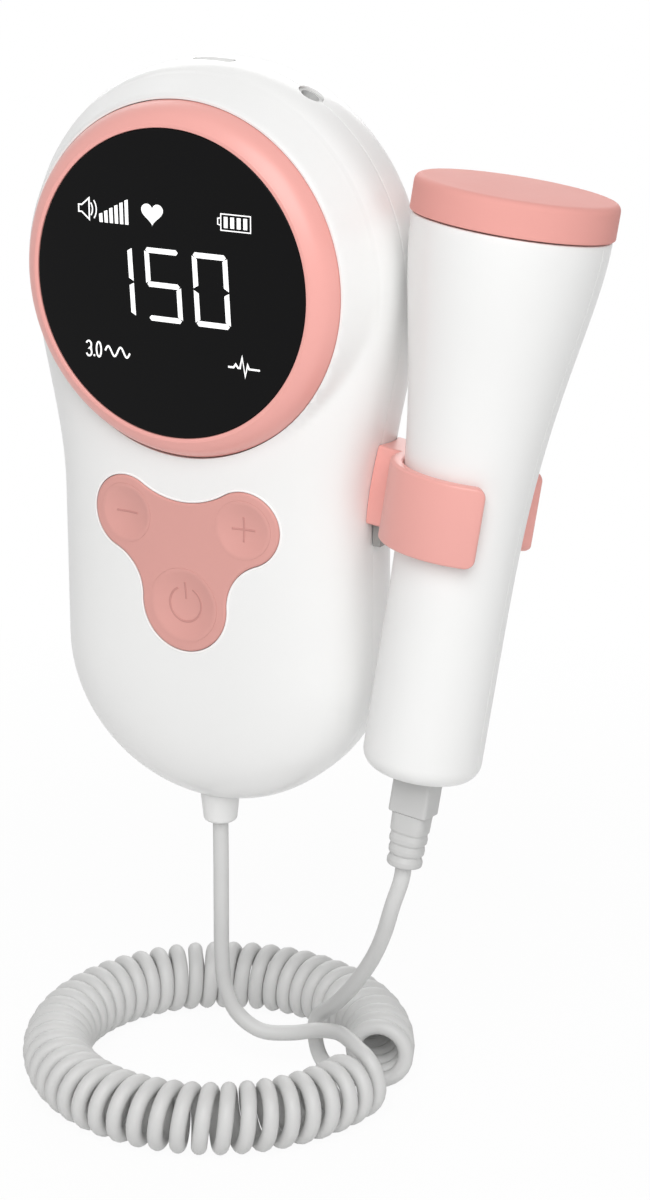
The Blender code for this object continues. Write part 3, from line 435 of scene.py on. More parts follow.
def smooth_route(points):
    """Centripetal Catmull-Rom curve through the points, read at even steps along it."""
    p = np.asarray(points, dtype=float)
    p = np.concatenate([[2 * p[0] - p[1]], p, [2 * p[-1] - p[-2]]])
    knots = run_along(p, 0.5)
    fine = 40
    span = np.repeat(np.arange(1, len(p) - 2), fine)
    share = np.tile(np.linspace(0.0, 1.0, fine, endpoint=False), len(p) - 3)
    t = knots[span] + (knots[span + 1] - knots[span]) * share

    def blend(a, b, low, high):
        return ((high - t) / (high - low))[:, None] * a + ((t - low) / (high - low))[:, None] * b

    k0, k1, k2, k3 = (knots[span + k] for k in (-1, 0, 1, 2))
    a1 = blend(p[span - 1], p[span], k0, k1)
    a2 = blend(p[span], p[span + 1], k1, k2)
    a3 = blend(p[span + 1], p[span + 2], k2, k3)
    curve = blend(blend(a1, a2, k0, k2), blend(a2, a3, k1, k3), k1, k2)
    curve = np.concatenate([curve, p[-2:-1]])
    return evenly(curve, round(run_along(curve)[-1] / lead_step) + 1)


def along_probe(level):
    """Point of the probe's axis at a level from the clip's centre."""
    return probe_centre + probe_axis * level


# The lead takes the place of the curls' first five points, and so meets them on a soft arc.
curls = curl(np.linspace(0.0, 1.0, round(curl_turns * points_a_curl)))[5:]
end_way = unit(curls[-1] - curls[-2])
gland_exit = np.array([0.0, -17.0, -74.3]) * mm
unit_lead = np.array([
    (0.0, -17.0, -77.3), (0.0, -17.0, -84.0), (-0.2, -16.8, -94.0), (-0.7, -15.9, -103.0),
    (-0.6, -14.9, -110.0), (1.6, -14.2, -115.6), (6.2, -13.2, -118.7), (12.0, -11.6, -118.6),
    (17.8, -11.2, -116.8), (23.3, -13.1, -115.2), (28.0, -16.7, -114.3), (31.2, -19.2, -114.2),
    (33.5, -20.4, -114.65), (35.1, -21.0, -115.9),
]) * mm
probe_lead = np.array([
    (25.4, -10.5, -125.5), (21.6, -9.7, -125.5), (18.2, -8.1, -125.5), (16.3, -6.8, -125.2),
    (14.8, -5.7, -124.1), (13.9, -5.0, -122.3), (13.6, -4.8, -120.3), (14.0, -5.0, -118.3),
    (15.0, -5.7, -116.6), (21.4, -10.4, -110.6), (28.6, -15.6, -102.4), (34.2, -19.4, -94.6),
    (38.2, -22.6, -87.5), (41.0, -24.6, -80.5),
]) * mm
relief_end = -69.0 * mm
first = smooth_route([gland_exit, *unit_lead, curls[0]])
last = smooth_route([curls[-1], curls[-1] + end_way * 2.0 * mm, *probe_lead,
                     along_probe(relief_end - 3.0 * mm), along_probe(relief_end + 0.3 * mm)])
cord_path = np.concatenate([first[:-1], curls, last[1:]])
cord_path[:, 2] = np.maximum(cord_path[:, 2], floor_level + cord_diameter / 2)


# %% [markdown]
# The wire itself is a circle carried along that route. Its frame is turned as little as possible
# from one point to the next, so that the tube isn't twisted. The plug's parts ride on the cord's
# far end and are made with the probe.

# %% Tube along a route
def tube(name, path, radius, sides):
    """Circle of the radius at each path point, square to the path, its frame carried along it."""
    way = unit(np.gradient(path, axis=0))
    normals = np.empty_like(path)
    normal = np.cross(way[0], [1.0, 0.0, 0.0])
    for k, tangent in enumerate(way):
        normal = unit(normal - tangent * (tangent @ normal))
        normals[k] = normal
    side = np.cross(way, normals)
    turn = circle(full_turn(sides)) * radius
    return surface(name, path[:, None] + normals[:, None] * turn[:, :1]
                   + side[:, None] * turn[:, 1:])


cord = tube("curly_cord", cord_path, cord_diameter / 2, 16)
cord.data.materials.append(pale_rubber)
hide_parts("cord_unit_lead", "cord_coil", "cord_probe_lead")

# %% [markdown]
# Housing. The real one is a pair of moulded shells that meet at a level seam. Seen from the front
# it is a round head that eases into a narrower waist and ends in a half-ellipse. Across, each half
# is a superellipse: steep at the seam and nearly flat in front. So the whole form is one formula in
# two parameters, the place along the outline and the angle up the section.

# %% Outline and section
housing_height = 138.2 * mm
head_radius = 37.6 * mm
waist = 31.4 * mm
flank_length = 43.0 * mm
foot_length = 29.0 * mm
display_z = housing_height / 2 - head_radius
foot_z = foot_length - housing_height / 2
seam = 14.8 * mm
front_depth = 14.2 * mm
power = 2.87
wall = 2.0 * mm
flat_share = 0.55
front_place = turned_by(90.0, "X")


def half_width(z):
    """Half-width on the flank: a cosine from the head to the waist."""
    share = np.clip((display_z - z) / flank_length, 0.0, 1.0)
    return waist + (head_radius - waist) * (1 + np.cos(np.pi * share)) / 2


def housing_outline(inset, columns):
    """Rows (x, z): even steps round the outline, drawn in by the inset."""
    quarter = circle(np.linspace(0.0, np.pi / 2, 200))
    z_flank = np.linspace(display_z, foot_z, 400)[1:-1]
    right = evenly(np.concatenate([
        [0.0, display_z] + (head_radius - inset) * quarter[:, ::-1],
        np.stack([half_width(z_flank) - inset, z_flank], axis=-1),
        [0.0, foot_z] + quarter * [waist - inset, inset - foot_length],
    ]), columns // 2 + 1)
    return np.concatenate([right, right[-2:0:-1] * [-1.0, 1.0]])


def housing_rows(inset, shares, levels, columns=288):
    """Points (x, -level, z): the outline drawn in to its spine by each row's share."""
    x, z = housing_outline(inset, columns).T
    spine = np.clip(z, foot_z, display_z)
    share, level = (np.asarray(rows)[:, None] for rows in (shares, levels))
    return np.stack(np.broadcast_arrays(x * share, -level, spine + (z - spine) * share), axis=-1)


def front_skin(inset, rows, columns=288):
    """Shares cos(a) ** (2 / power) at the levels seam + depth sin(a) ** (2 / power)."""
    angle = np.linspace(0.0, math.acos(0.04 ** (power / 2)), rows)
    return housing_rows(inset, np.cos(angle) ** (2 / power),
                        seam + (front_depth - inset) * np.sin(angle) ** (2 / power), columns)


def rear_skin(inset, rows, columns=288, flat=()):
    """The same towards the rear, down to the flat's share, and on along the shares in flat."""
    angle = np.linspace(0.0, np.pi / 2, rows)
    shares = flat_share + (1 - flat_share) * np.cos(angle) ** (2 / power)
    levels = seam - (seam - inset) * np.sin(angle) ** (2 / power)
    return housing_rows(inset, [*shares, *flat], [*levels, *[inset] * len(flat)], columns)


# %% [markdown]
# Front shell. Around the display the shell rises in a low cone that carries the pink ring. A smooth
# maximum joins the cone to the pebble without a crease. The wall is 2 mm: an inner skin runs back
# from the rim, which is softened so that the seam catches a fine shadow.

# %% Front shell
def raised_collar(points):
    """Lifts the front near the display to a cone, by a smooth maximum of the two heights.

    The cone is 28.1 mm high up to radius 32.45 mm and falls 6.6 mm over the next 3.55 mm. A smooth
    maximum of a and b is half of a + b + sqrt((a - b)^2 + k^2).
    """
    radius = np.hypot(points[..., 0], points[..., 2] - display_z)
    cone = 28.1 * mm - np.clip(radius - 32.45 * mm, 0.0, None) * 6.6 / 3.55
    cone = cone - np.clip(radius - 35.9 * mm, 0.0, None) * 30.0
    level = -points[..., 1]
    soft = 0.3 * mm
    lifted = (level + cone + np.sqrt((level - cone) ** 2 + soft ** 2)) / 2
    return np.stack([points[..., 0], -lifted, points[..., 2]], axis=-1)


def rim(side):
    """Rows over the seam's softened edge to the inner skin; side is 1 in front, -1 behind."""
    steps = ((0.0, 0.16), (0.015, 0.08), (0.05, 0.035), (0.1, 0.02), (wall / mm, 0.02))
    return np.concatenate([housing_rows(inset * mm, [1.0], [seam + side * rise * mm])
                           for inset, rise in steps])


outside = raised_collar(front_skin(0.0, 72)[:0:-1])
front_shell = surface("front_shell_skin",
                      np.concatenate([outside, rim(1), front_skin(wall, 40)[1:]]))
print("front shell", len(front_shell.data.polygons), "faces")


# %% [markdown]
# Holes in the front. The display's seat is a round hole, and the keypad's opening is three round
# lobes joined by hollow arcs, which touch the lobes from outside. The gland, the earphone socket
# and the charging slot each cut both shells.

# %% Keypad outline and hole cutters
side_key = np.array([12.3, -12.4]) * mm
power_key = np.array([0.0, -28.2]) * mm
lobes = ((side_key, 7.0 * mm, 16.5 * mm), (side_key * [-1, 1], 7.0 * mm, 9.0 * mm),
         (power_key, 8.8 * mm, 9.0 * mm))


def touching_circle(a, a_radius, b, b_radius, radius):
    """Centre of the circle of a radius that touches circles a and b, to the right of a to b."""
    along = b - a
    distance = np.linalg.norm(along)
    to_a, to_b = a_radius + radius, b_radius + radius
    share = (to_a ** 2 - to_b ** 2 + distance ** 2) / (2 * distance ** 2)
    rise = math.sqrt(to_a ** 2 - (share * distance) ** 2)
    normal = np.array([along[1], -along[0]]) / distance
    return a + along * share + normal * rise


def keypad_outline(offset=0.0):
    """Arcs round the three lobes and the three waists in turn, all moved out by the offset."""
    pairs = [(lobes[k], lobes[(k + 1) % 3]) for k in range(3)]
    hubs = [touching_circle(*here[:2], *following[:2], here[2]) for here, following in pairs]
    rows = []
    for k, ((centre, radius, waist_radius), following) in enumerate(pairs):
        ends = [math.atan2(*(hub - centre)[::-1]) for hub in (hubs[k - 1], hubs[k])]
        ends[1] += 2 * np.pi * (ends[1] < ends[0])
        rows.append(centre + (radius + offset) * circle(np.linspace(*ends, 48)))
        ends = [math.atan2(*(lobe - hubs[k])[::-1]) for lobe in (centre, following[0])]
        ends[1] -= 2 * np.pi * (ends[1] > ends[0])
        rows.append(hubs[k] + (waist_radius - offset) * circle(np.linspace(*ends, 28)[1:-1]))
    return np.concatenate(rows)


def slot_outline(width, length):
    """Slot with round ends, its long way along Y."""
    end = circle(np.linspace(0.0, np.pi, 16)) * width / 2 + [0.0, (length - width) / 2]
    return np.concatenate([end, -end])


def rod(name, radius, low, high, matrix, steps=64):
    """Round cutter between two levels of the matrix's Z."""
    return prism(name, [circle(full_turn(steps)) * radius], low, high, matrix)


jack_place = (place_at(0.0, -seam, display_z) @ turned_by(30.0, "Y")
              @ place_at(0.0, 0.0, head_radius))
port_place = place_at(0.0, -16.2 * mm, housing_height / 2) @ turned_by(90.0, "Z")
display_place = front_place @ place_at(0.0, display_z, 0.0)
gland_place = place_at(0.0, -17.0 * mm, -housing_height / 2)


gland_hole, jack_hole = 3.82 * mm, 2.45 * mm
port_width, port_length = 2.85 * mm, 8.45 * mm
display_hole, keypad_gap = 31.95 * mm, 0.1 * mm
inward, outward = -6.0 * mm, 10.0 * mm


def socket_cutters():
    """The gland, earphone and charging holes, for either shell."""
    return [
        rod("gland_way", gland_hole, -20.0 * mm, 4.0 * mm, gland_place),
        rod("jack_way", jack_hole, inward, outward, jack_place, 48),
        prism("port_way", [slot_outline(port_width, port_length)], inward, outward, port_place),
    ]


cut(front_shell, [
    rod("display_way", display_hole, 10.0 * mm, 45.0 * mm, display_place, 256),
    prism("keypad_way", [keypad_outline(keypad_gap)], 20.0 * mm, 45.0 * mm, front_place),
    *socket_cutters(),
])
finished(front_shell, "unit", white_shell, ["front_shell"])
print("front shell after its cuts", len(front_shell.data.polygons), "faces")

# %% [markdown]
# Rear cover. Its back is flat, so that the unit lies steady on a table. Behind the head are the
# speaker's slots, and four screws sit in round recesses, which is how such a housing is closed.

# %% Rear cover
screw_places = ((-22.96, 46.99), (22.96, 46.99), (-16.0, -52.0), (16.0, -52.0))
outside = rear_skin(0.0, 56, flat=(0.5, 0.4, 0.3, 0.2, 0.1, 0.03))[:0:-1]
inside = rear_skin(wall, 32, flat=(0.4, 0.2, 0.03))[1:]
rear_cover = surface("rear_cover_skin", np.concatenate([outside, rim(-1), inside]))
recess_radius, recess_level = 3.0 * mm, 2.6 * mm
cutters = [rod(f"screw_way_{k}", recess_radius, -10.0 * mm, recess_level,
               front_place @ place_at(x * mm, z * mm, 0.0), 48)
           for k, (x, z) in enumerate(screw_places)]
grille_slot = slot_outline(1.6 * mm, 16.0 * mm)
grille_pitch = 3.6 * mm
cutters += [prism(f"grille_way_{k}", [grille_slot], -10.0 * mm, 3.0 * mm,
                  display_place @ place_at(0.0, k * grille_pitch, 0.0) @ turned_by(90.0, "Z"))
            for k in (-2, -1, 0, 1, 2)]
cut(rear_cover, cutters + socket_cutters())
finished(rear_cover, "unit", white_shell, ["rear_cover"])
print("rear cover", len(rear_cover.data.polygons), "faces")

# %% [markdown]
# Display ring and lens. The ring is one sloping pink band from the lens to the shell, slightly
# bowed, with a thin lip round the lens. Both are turned forms. The lens stands a hair below the
# lip, and its edge is rounded as on cut and polished acrylic.

# %% Ring and lens
share = np.linspace(0.0, 1.0, 25)
bow = 0.45 * np.sin(np.pi * share)  # both in millimetres, as the whole profile
slope = np.stack([31.8 - 3.5 * share + bow, 28.35 + 4.2 * share + bow], axis=-1)
ring_profile = np.concatenate([
    [(29.4, 21.3), (31.8, 21.3)], slope[:-1],
    rounded([(28.6, 32.2), (28.28, 32.56, 0.2), (27.52, 32.56, 0.22), (27.52, 31.0)])[1:],
    [(25.2, 30.7), (25.2, 29.3), (29.4, 29.3)],
]) * mm
ring = turned("display_ring", ring_profile, display_place, 256, ring=True, sharp=50.0)
finished(ring, "unit", pink_ring, ["bezel_ring"])
lens_profile = rounded([(0.5, 31.0), (27.44, 31.0, 0.1), (27.44, 32.4, 0.28), (0.5, 32.4)]) * mm
lens = turned("display_lens", lens_profile, display_place, 192)
dark_lens = moulded("dark_lens", (6, 6, 7), 0.1, 1.2, 0.0003, Specular_IOR_Level=0.11)
finished(lens, "unit", dark_lens, ["display_window"])

# %% [markdown]
# Display. The lit part of a display is a set of flat shapes: the strokes of three digits and a few
# pictograms. Each is an outline in the plane of the lens, given in millimetres from its centre, and
# all of them are swept to a film that is a few hundredths thick. They glow faintly, as lit
# segments do. The two captions are a plain number with a wave and a pulse trace.

# %% Strokes
def left_of(rows):
    """Rows (x, y) turned a quarter to the left."""
    return rows[..., ::-1] * [-1.0, 1.0]


def stroke(points, width, closed=False):
    """Outline of a line of even width: each point moved along its normal to both sides.

    At a bend the move grows by 1 / cos(half the turn), so that the stroke keeps its width.
    """
    p = np.asarray(points, dtype=float)
    p = np.concatenate([p, p[:1]]) if closed else p
    step = unit(np.diff(p, axis=0))
    before = np.concatenate([step[-1:] if closed else step[:1], step])
    after = np.concatenate([step, step[:1] if closed else step[-1:]])
    normal = unit(left_of(before + after))
    grow = 1 / np.clip((normal * left_of(after)).sum(axis=1), 0.4, 1.0)
    move = normal * grow[:, None] * width / 2
    return np.concatenate([p + move, (p - move)[::-1]])


# %% [markdown]
# Digits. A digit has up to seven strokes. The three level ones are long hexagons. The four upright
# ones are cut at a slant at both ends, where they meet the level ones with a thin gap. A shear
# gives the digits their slight lean.

# %% Digit strokes
def digit(left, right, low, high, lit, weight):
    """Outlines of the lit strokes, by letter: a top, b c right, d foot, e f left, g middle."""
    middle = (low + high) / 2
    w, h = weight, weight / 2
    gap, lean = 0.15, 0.055

    def level_bar(z):
        return [(left + gap * 1.6, z), (left + h + gap, z + h), (right - h - gap, z + h),
                (right - gap * 1.6, z), (right - h - gap, z - h), (left + h + gap, z - h)]

    def upright(x, inner, foot, top):
        return [(x, foot + gap), (x, top - gap), (inner, top - gap - h * 1.1),
                (inner, foot + gap + h * 1.1)]

    bars = {"a": level_bar(high - h), "d": level_bar(low + h), "g": level_bar(middle),
            "b": upright(right, right - w, middle, high - h),
            "c": upright(right, right - w, low + h, middle),
            "f": upright(left, left + w, middle, high - h),
            "e": upright(left, left + w, low + h, middle)}
    return [np.array(bars[letter]) @ [[1.0, 0.0], [-lean, 1.0]] for letter in lit]


def arc(x, z, radius, start, finish, steps=13, flat=1.0):
    """Points on a circle, its height multiplied by flat."""
    angle = np.radians(np.linspace(start, finish, steps))
    return [x, z] + radius * circle(angle) * [1.0, flat]


shapes = digit(-12.4, -7.28, -6.7, 6.5, "bc", 0.92)
shapes += digit(-4.68, 2.46, -6.66, 6.36, "afgcd", 0.95)
shapes += digit(5.06, 12.22, -6.66, 6.4, "abcdef", 0.98)
print("digit strokes", len(shapes))

# %% [markdown]
# Pictograms. A speaker with two sound arcs and six rising bars shows the volume, a heart shows that
# a beat is heard, and a battery with four bars shows the charge. The heart is the known curve
# x = 16 sin^3 t, z = 13 cos t - 5 cos 2t - 2 cos 3t - cos 4t.

# %% Pictograms
line_wide, line_fine = 0.34, 0.2
horn = [(-18.5, 12.72), (-17.85, 12.72), (-16.3, 14.0), (-16.3, 10.2), (-17.85, 11.48),
        (-18.5, 11.48)]
shapes.append(stroke(horn, 0.26, closed=True))
shapes += [stroke(arc(-17.5, 12.1, reach, -36.0, 36.0), 0.24) for reach in (1.9, 2.7)]
for k in range(6):
    x, top = -14.25 + 1.07 * k, 11.5 + 0.56 * k
    shapes.append(np.array([(x + 0.08, 9.95), (x + 0.76, 9.95), (x + 0.68, top + 0.1),
                            (x, top - 0.1)]))
t = full_turn(72)
shapes.append(np.stack([
    -3.22 + 0.139 * 16 * np.sin(t) ** 3,
    12.46 + 0.1327 * (13 * np.cos(t) - 5 * np.cos(2 * t) - 2 * np.cos(3 * t) - np.cos(4 * t)),
], axis=-1))
case = [(10.72, 13.6), (16.65, 13.6), (16.65, 10.75), (10.72, 10.75)]
shapes.append(stroke(case, line_fine, closed=True))
shapes.append(stroke([(10.65, 12.9), (10.1, 12.78), (10.1, 11.75), (10.65, 11.62)], line_fine))
for k in range(4):
    x = 11.32 + 1.3 * k
    shapes.append(np.array([(x, 11.2), (x + 0.76, 11.2), (x + 0.76, 13.15), (x, 13.15)]))

three = np.concatenate([arc(-17.05, -12.4, 0.52, 160.0, -80.0, 15, 1.25),
                        arc(-17.05, -13.75, 0.56, 80.0, -160.0, 15, 1.3)])
shapes.append(stroke(three, 0.32))
shapes.append(arc(-15.95, -14.3, 0.2, 0.0, 330.0, 12))
shapes.append(stroke(arc(-14.95, -13.1, 0.5, 0.0, 345.0, 24, 2.7), 0.32, closed=True))
run = np.linspace(0.0, 1.0, 41)
shapes.append(stroke(np.stack([-13.6 + 5.2 * run, -13.15 + 0.85 * np.sin(4 * np.pi * run)],
                              axis=-1), line_wide))
pulse = [(11.9, -13.2), (13.0, -13.2), (13.45, -12.6), (13.9, -13.2), (14.3, -13.2),
         (14.75, -11.2), (15.35, -14.6), (15.85, -12.5), (16.15, -13.2), (18.3, -13.2)]
shapes.append(stroke(pulse, line_wide))
lit_white = moulded("lit_white", (236, 236, 236), 0.5, 0.4, 0.001, 0.02,
                    Emission_Color=white, Emission_Strength=0.5)
film_low, film_high = 32.36 * mm, 32.43 * mm
lit = prism("display_signs", [shape * mm for shape in shapes], film_low, film_high,
            display_place, crisp)
finished(lit, "unit", lit_white)
print("display film", len(shapes), "shapes")

# %% [markdown]
# Keypad. One soft pink pad fills the opening and follows the crown of the shell, a quarter of a
# millimetre proud. Its edge is rounded. The three keys are separate, so that they can be pressed,
# with a gap as thin as the slit that real silicone keys show.

# %% Keypad pad
def crowned(outline, drop=0.0, proud=0.25 * mm):
    """Outline in the front's own X and Z, laid on the front's crown less a drop.

    The crown's level is seam + depth (1 - share ** power) ** (1 / power), where share is |x| over
    the half-width there, or the share of the foot's half-ellipse below it.
    """
    x, z = np.moveaxis(outline, -1, 0)
    foot = np.clip((foot_z - z) / foot_length, 0.0, None)
    share = np.clip(np.hypot(x / half_width(z), foot), 0.0, 1.0)
    level = seam + (front_depth + proud) * (1 - share ** power) ** (1 / power)
    return np.stack([x, drop - level, z], axis=-1)


edge = 0.45 * mm
rows = [np.insert(keypad_outline(), 1, -24.7 * mm, axis=1)]
rows += [crowned(keypad_outline(-edge * (1 - math.cos(angle))), edge * (1 - math.sin(angle)))
         for angle in np.linspace(0.0, np.pi / 2, 7)]
middle = np.array([0.0, -18.6]) * mm  # sees the whole edge, so that the rings don't cross
inner = keypad_outline(-edge)
rows += [crowned(middle + (inner - middle) * share) for share in np.linspace(1.0, 0.02, 44)[1:]]
pad = surface("keypad_skin", np.array(rows))

# The shell's opening has a fine rolled lip, a bead 0.36 mm wide that stands 0.1 mm proud.
rows = [crowned(keypad_outline((0.32 - 0.2 * math.cos(angle)) * mm),
                (0.04 - 0.14 * math.sin(angle)) * mm, 0.0)
        for angle in np.linspace(-0.25 * np.pi, 1.25 * np.pi, 11)]
lip = surface("keypad_lip", np.array(rows), ring=True)
# The bead is the shell's own white plastic. Its brighter white is a painted highlight along it.
lip_painted_highlight = moulded("lip_painted_highlight", (252, 250, 249), 0.4, 0.9, 0.002, 0.01)
finished(lip, "unit", lip_painted_highlight)
keys = (("minus", *side_key * [-1, 1], 5.5 * mm, 0.85 * mm),
        ("plus", *side_key, 5.5 * mm, 0.85 * mm), ("power", *power_key, 7.0 * mm, 1.1 * mm))
cut(pad, [rod("key_way_" + name, radius + 0.02 * mm, 10.0 * mm, 45.0 * mm,
              front_place @ place_at(x, z, 0.0), 96) for name, x, z, radius, _ in keys])
finished(pad, "unit", pink_keys, ["keypad_pad"])


# %% [markdown]
# Keys. Each key continues the pad's crown and sinks into a shallow dish for the fingertip. Its mark,
# a bar, a cross or a ring with a stroke, is a low relief in the bottom of the dish.

# %% Keys with dishes
dish_edge = 0.6 * mm


def dish_depth(radius, rim, depth):
    """Depth (1 - (r / rim)^2) of the dish inside its rim, with its edge eased by a square root."""
    inside = 1 - (radius / rim) ** 2
    soft = 0.1
    return depth * (inside + np.sqrt(inside ** 2 + soft ** 2) - soft) / 2


def key(name, x, z, radius, depth):
    """Rings of shrinking radius about the key's centre, on the crown less the dish's depth."""
    def ring(reach, drop):
        return crowned([x, z] + reach * circle(full_turn(96)),
                       drop + dish_depth(reach, radius - dish_edge, depth))

    edge = 0.02 * mm
    rings = [ring(radius, 2.5 * mm)]
    rings += [ring(radius - edge * (1 - math.cos(a)), edge * (1 - math.sin(a)))
              for a in np.linspace(0.0, np.pi / 2, 5)]
    rings += [ring(reach, 0.0) for reach in np.linspace(radius - edge, 0.1 * mm, 40)[1:]]
    return surface("key_" + name, np.array(rings))


for name, *place in keys:
    finished(key(name, *place), "button_" + name, pink_keys, ["button_" + name])


# %% [markdown]
# Key marks. A bar, a cross and a ring with a stroke tell the keys apart by touch. Each is a thin
# rounded ridge that lies in the dish: a half-round section carried along the mark's line, at the
# level of the dish under it.

# %% Ridges in the dishes
mark_width, mark_height = 0.42 * mm, 0.07 * mm


def ridge(name, line, x, z, radius, depth):
    """Half-round along a line (x, z) on the dish of one key, of the marks' width and height."""
    line = line + [x, z]
    way = unit(np.gradient(line, axis=0))
    turn = circle(full_turn(12))
    flat = line[:, None] + left_of(way)[:, None] * turn[:, :1] * mark_width / 2
    reach = np.linalg.norm(flat - [x, z], axis=-1)
    drop = dish_depth(reach, radius - dish_edge, depth) - mark_height * turn[:, 1]
    return surface(name, crowned(flat, drop))


# The ridges are moulded with the keys. Their darker pink is painted shade along the relief.
marks_painted_shade = moulded("marks_painted_shade", (202, 143, 136), 0.55, 0.35, 0.008)
bar = np.stack([np.linspace(-2.3, 2.3, 24), np.zeros(24)], axis=-1) * mm
ring_line = arc(0.0, 0.0, 3.3, 118.0, 422.0, 72) * mm
marks = (("minus_bar", keys[0], bar), ("plus_bar", keys[1], bar),
         ("plus_stem", keys[1], bar[:, ::-1]), ("power_ring", keys[2], ring_line),
         ("power_stem", keys[2], bar[:, ::-1] * 0.72 + [0.0, 2.6 * mm]))
for name, (button, *place), line in marks:
    finished(ridge("mark_" + name, line, *place), "button_" + button, marks_painted_shade)
print("key marks", len(marks))


# %% [markdown]
# Probe. The handle is a slim grip that flares into the neck under the round head. It is moulded in
# two halves, so a hair-thin groove runs down each side. The radius is a smooth step of the level,
# raised to a power, which puts most of the flare near the head.

# %% Handle
grip_radius = 10.75 * mm
neck_step = 6.65 * mm
probe_low, probe_high = -51.1 * mm, 48.4 * mm
flare_low = -38.0 * mm
probe_place = place_at(*probe_centre) @ (
    Vector((0.0, 0.0, 1.0)).rotation_difference(Vector(probe_axis)).to_matrix().to_4x4())


def handle_radius(level):
    """Grip + step (3 s^2 - 2 s^3), where s is the share of the flare, raised to 2.05."""
    share = np.clip((level - flare_low) / (probe_high - flare_low), 0.0, 1.0) ** 2.05
    return grip_radius + neck_step * share * share * (3 - 2 * share)


def skin(levels, inset):
    """Profile rows of the handle's skin, drawn in by the inset."""
    return np.stack([handle_radius(levels) - inset, levels], axis=-1)


foot_edge = 3.5 * mm
foot_wall, handle_wall = 2.0 * mm, 1.8 * mm
socket_bore = 3.0 * mm
foot_centre = np.array([grip_radius - foot_edge, probe_low + foot_edge])
outer = np.concatenate([
    foot_centre + foot_edge * circle(np.linspace(-np.pi / 2, 0.0, 12)),
    skin(np.linspace(probe_low + foot_edge, probe_high - 0.25 * mm, 90)[1:], 0.0),
    [(17.34 * mm, probe_high - 0.06 * mm), (17.15 * mm, probe_high)],
])
profile = np.concatenate([
    [(socket_bore, probe_low)], outer,
    skin(np.linspace(probe_high, probe_low + 2 * foot_wall, 30), handle_wall),
    [(7.0 * mm, probe_low + foot_wall), (socket_bore, probe_low + foot_wall)],
])
# The columns stand close together where the groove runs, and evenly elsewhere.
near = np.array([-30.0, -18.0, -12.0, -8.0, -4.0, 0.0, 4.0, 8.0, 12.0, 18.0, 30.0]) * 0.001
even = np.linspace(0.06, np.pi - 0.06, 90)
angle = np.concatenate([near, even, near + np.pi, even + np.pi])
groove_depth, groove_width = 0.1 * mm, 0.006
groove = groove_depth * np.exp(-(np.sin(angle) / groove_width) ** 2)
on_skin = np.zeros((len(profile), 1))
on_skin[8:len(outer) + 1] = 1.0  # none round the foot's edge, and none inside
points = swung(profile[:, :1] - on_skin * groove, profile[:, 1:], angle)
handle = surface("probe_handle", placed(points, probe_place), ring=True, sharp=60.0)
white_probe = moulded("white_probe", (243, 243, 242), 0.36, 0.9, 0.003, 0.02,
                      Coat_Weight=0.2, Coat_Roughness=0.15)
finished(handle, "probe", white_probe, ["probe_shell_front", "probe_shell_rear"])
print("handle", len(handle.data.polygons), "faces")

# %% [markdown]
# Probe head. The pink cap holds the crystal behind its face, which is pressed on the skin, so the
# face is flat and its edge well rounded.

# %% Cap
cap_low = probe_high + 0.3 * mm
cap_high = cap_low + 6.2 * mm
cap_radius, cap_edge = 17.85 * mm, 1.5 * mm
cap_profile = rounded([
    (0.4 * mm, cap_low), (cap_radius, cap_low, 0.3 * mm), (cap_radius, cap_high, cap_edge),
    (0.4 * mm, cap_high),
], steps=12)
cap = turned("probe_head", cap_profile, probe_place, 192)
finished(cap, "probe", pink_cap, ["probe_cap"])

# %% [markdown]
# Clip. An open pink ring on a foot grips the probe. Its band is a rounded rectangle carried round
# the probe's axis. Towards each free end the band narrows along a quarter circle, which rounds the
# corners of the two arms.

# %% Clip band and foot
def rounded_box_outline(width, height, radius, steps=6):
    """Rectangle about the origin whose corners are quarter circles, anticlockwise."""
    corner = circle(np.linspace(0.0, np.pi / 2, steps)) * radius
    reach = np.array([width / 2 - radius, height / 2 - radius])
    return np.concatenate([((corner if s * t > 0 else corner[::-1]) + reach) * [s, t]
                           for s, t in ((1, 1), (-1, 1), (-1, -1), (1, -1))])


clip_start, clip_finish = math.radians(48.0), math.radians(308.0)
clip_bore, clip_wall = 12.3 * mm, 1.9 * mm
clip_height, clip_drop = 14.5 * mm, 2.2 * mm
clip_corner, clip_edge = 1.8 * mm, 0.55 * mm
clip_gap = 0.15 * mm


def eased(radius, near):
    """What a quarter circle of the radius takes off at a distance from the end."""
    return radius - np.sqrt(radius ** 2 - np.clip(radius - near, 0.0, None)[:, None] ** 2)


def clip_band():
    """Section of wall by height at each angle, narrowing near both ends along quarter circles.

    At a distance s from an end, the half-height loses R - sqrt(R^2 - (R - s)^2) for a corner
    radius R, and the wall's two edges lose the same for the edge radius. The inner side is drawn
    in to the gap from the handle at its level.
    """
    middle = clip_bore + clip_wall / 2
    run = (clip_finish - clip_start) * middle
    end = clip_corner * (1 - np.cos(np.linspace(0.0, np.pi / 2, 14)))
    s = np.concatenate([end, np.linspace(clip_corner, run - clip_corner, 90)[1:-1],
                        run - end[::-1]])
    near = np.minimum(s, run - s)
    lost, thin = eased(clip_corner, near), eased(clip_edge, near)
    across, up = (rounded_box_outline(clip_wall, clip_height, clip_edge)
                  / [clip_wall / 2, clip_height / 2]).T
    level = up * (clip_height / 2 - lost) - clip_drop
    inward = (1 - across) / 2 * (1 - thin / clip_edge)
    radius = (middle + across * (clip_wall / 2 - thin * 0.999)
              - inward * (clip_bore - clip_gap - handle_radius(level)))
    return swung(radius, level, clip_start + s[:, None] / middle)


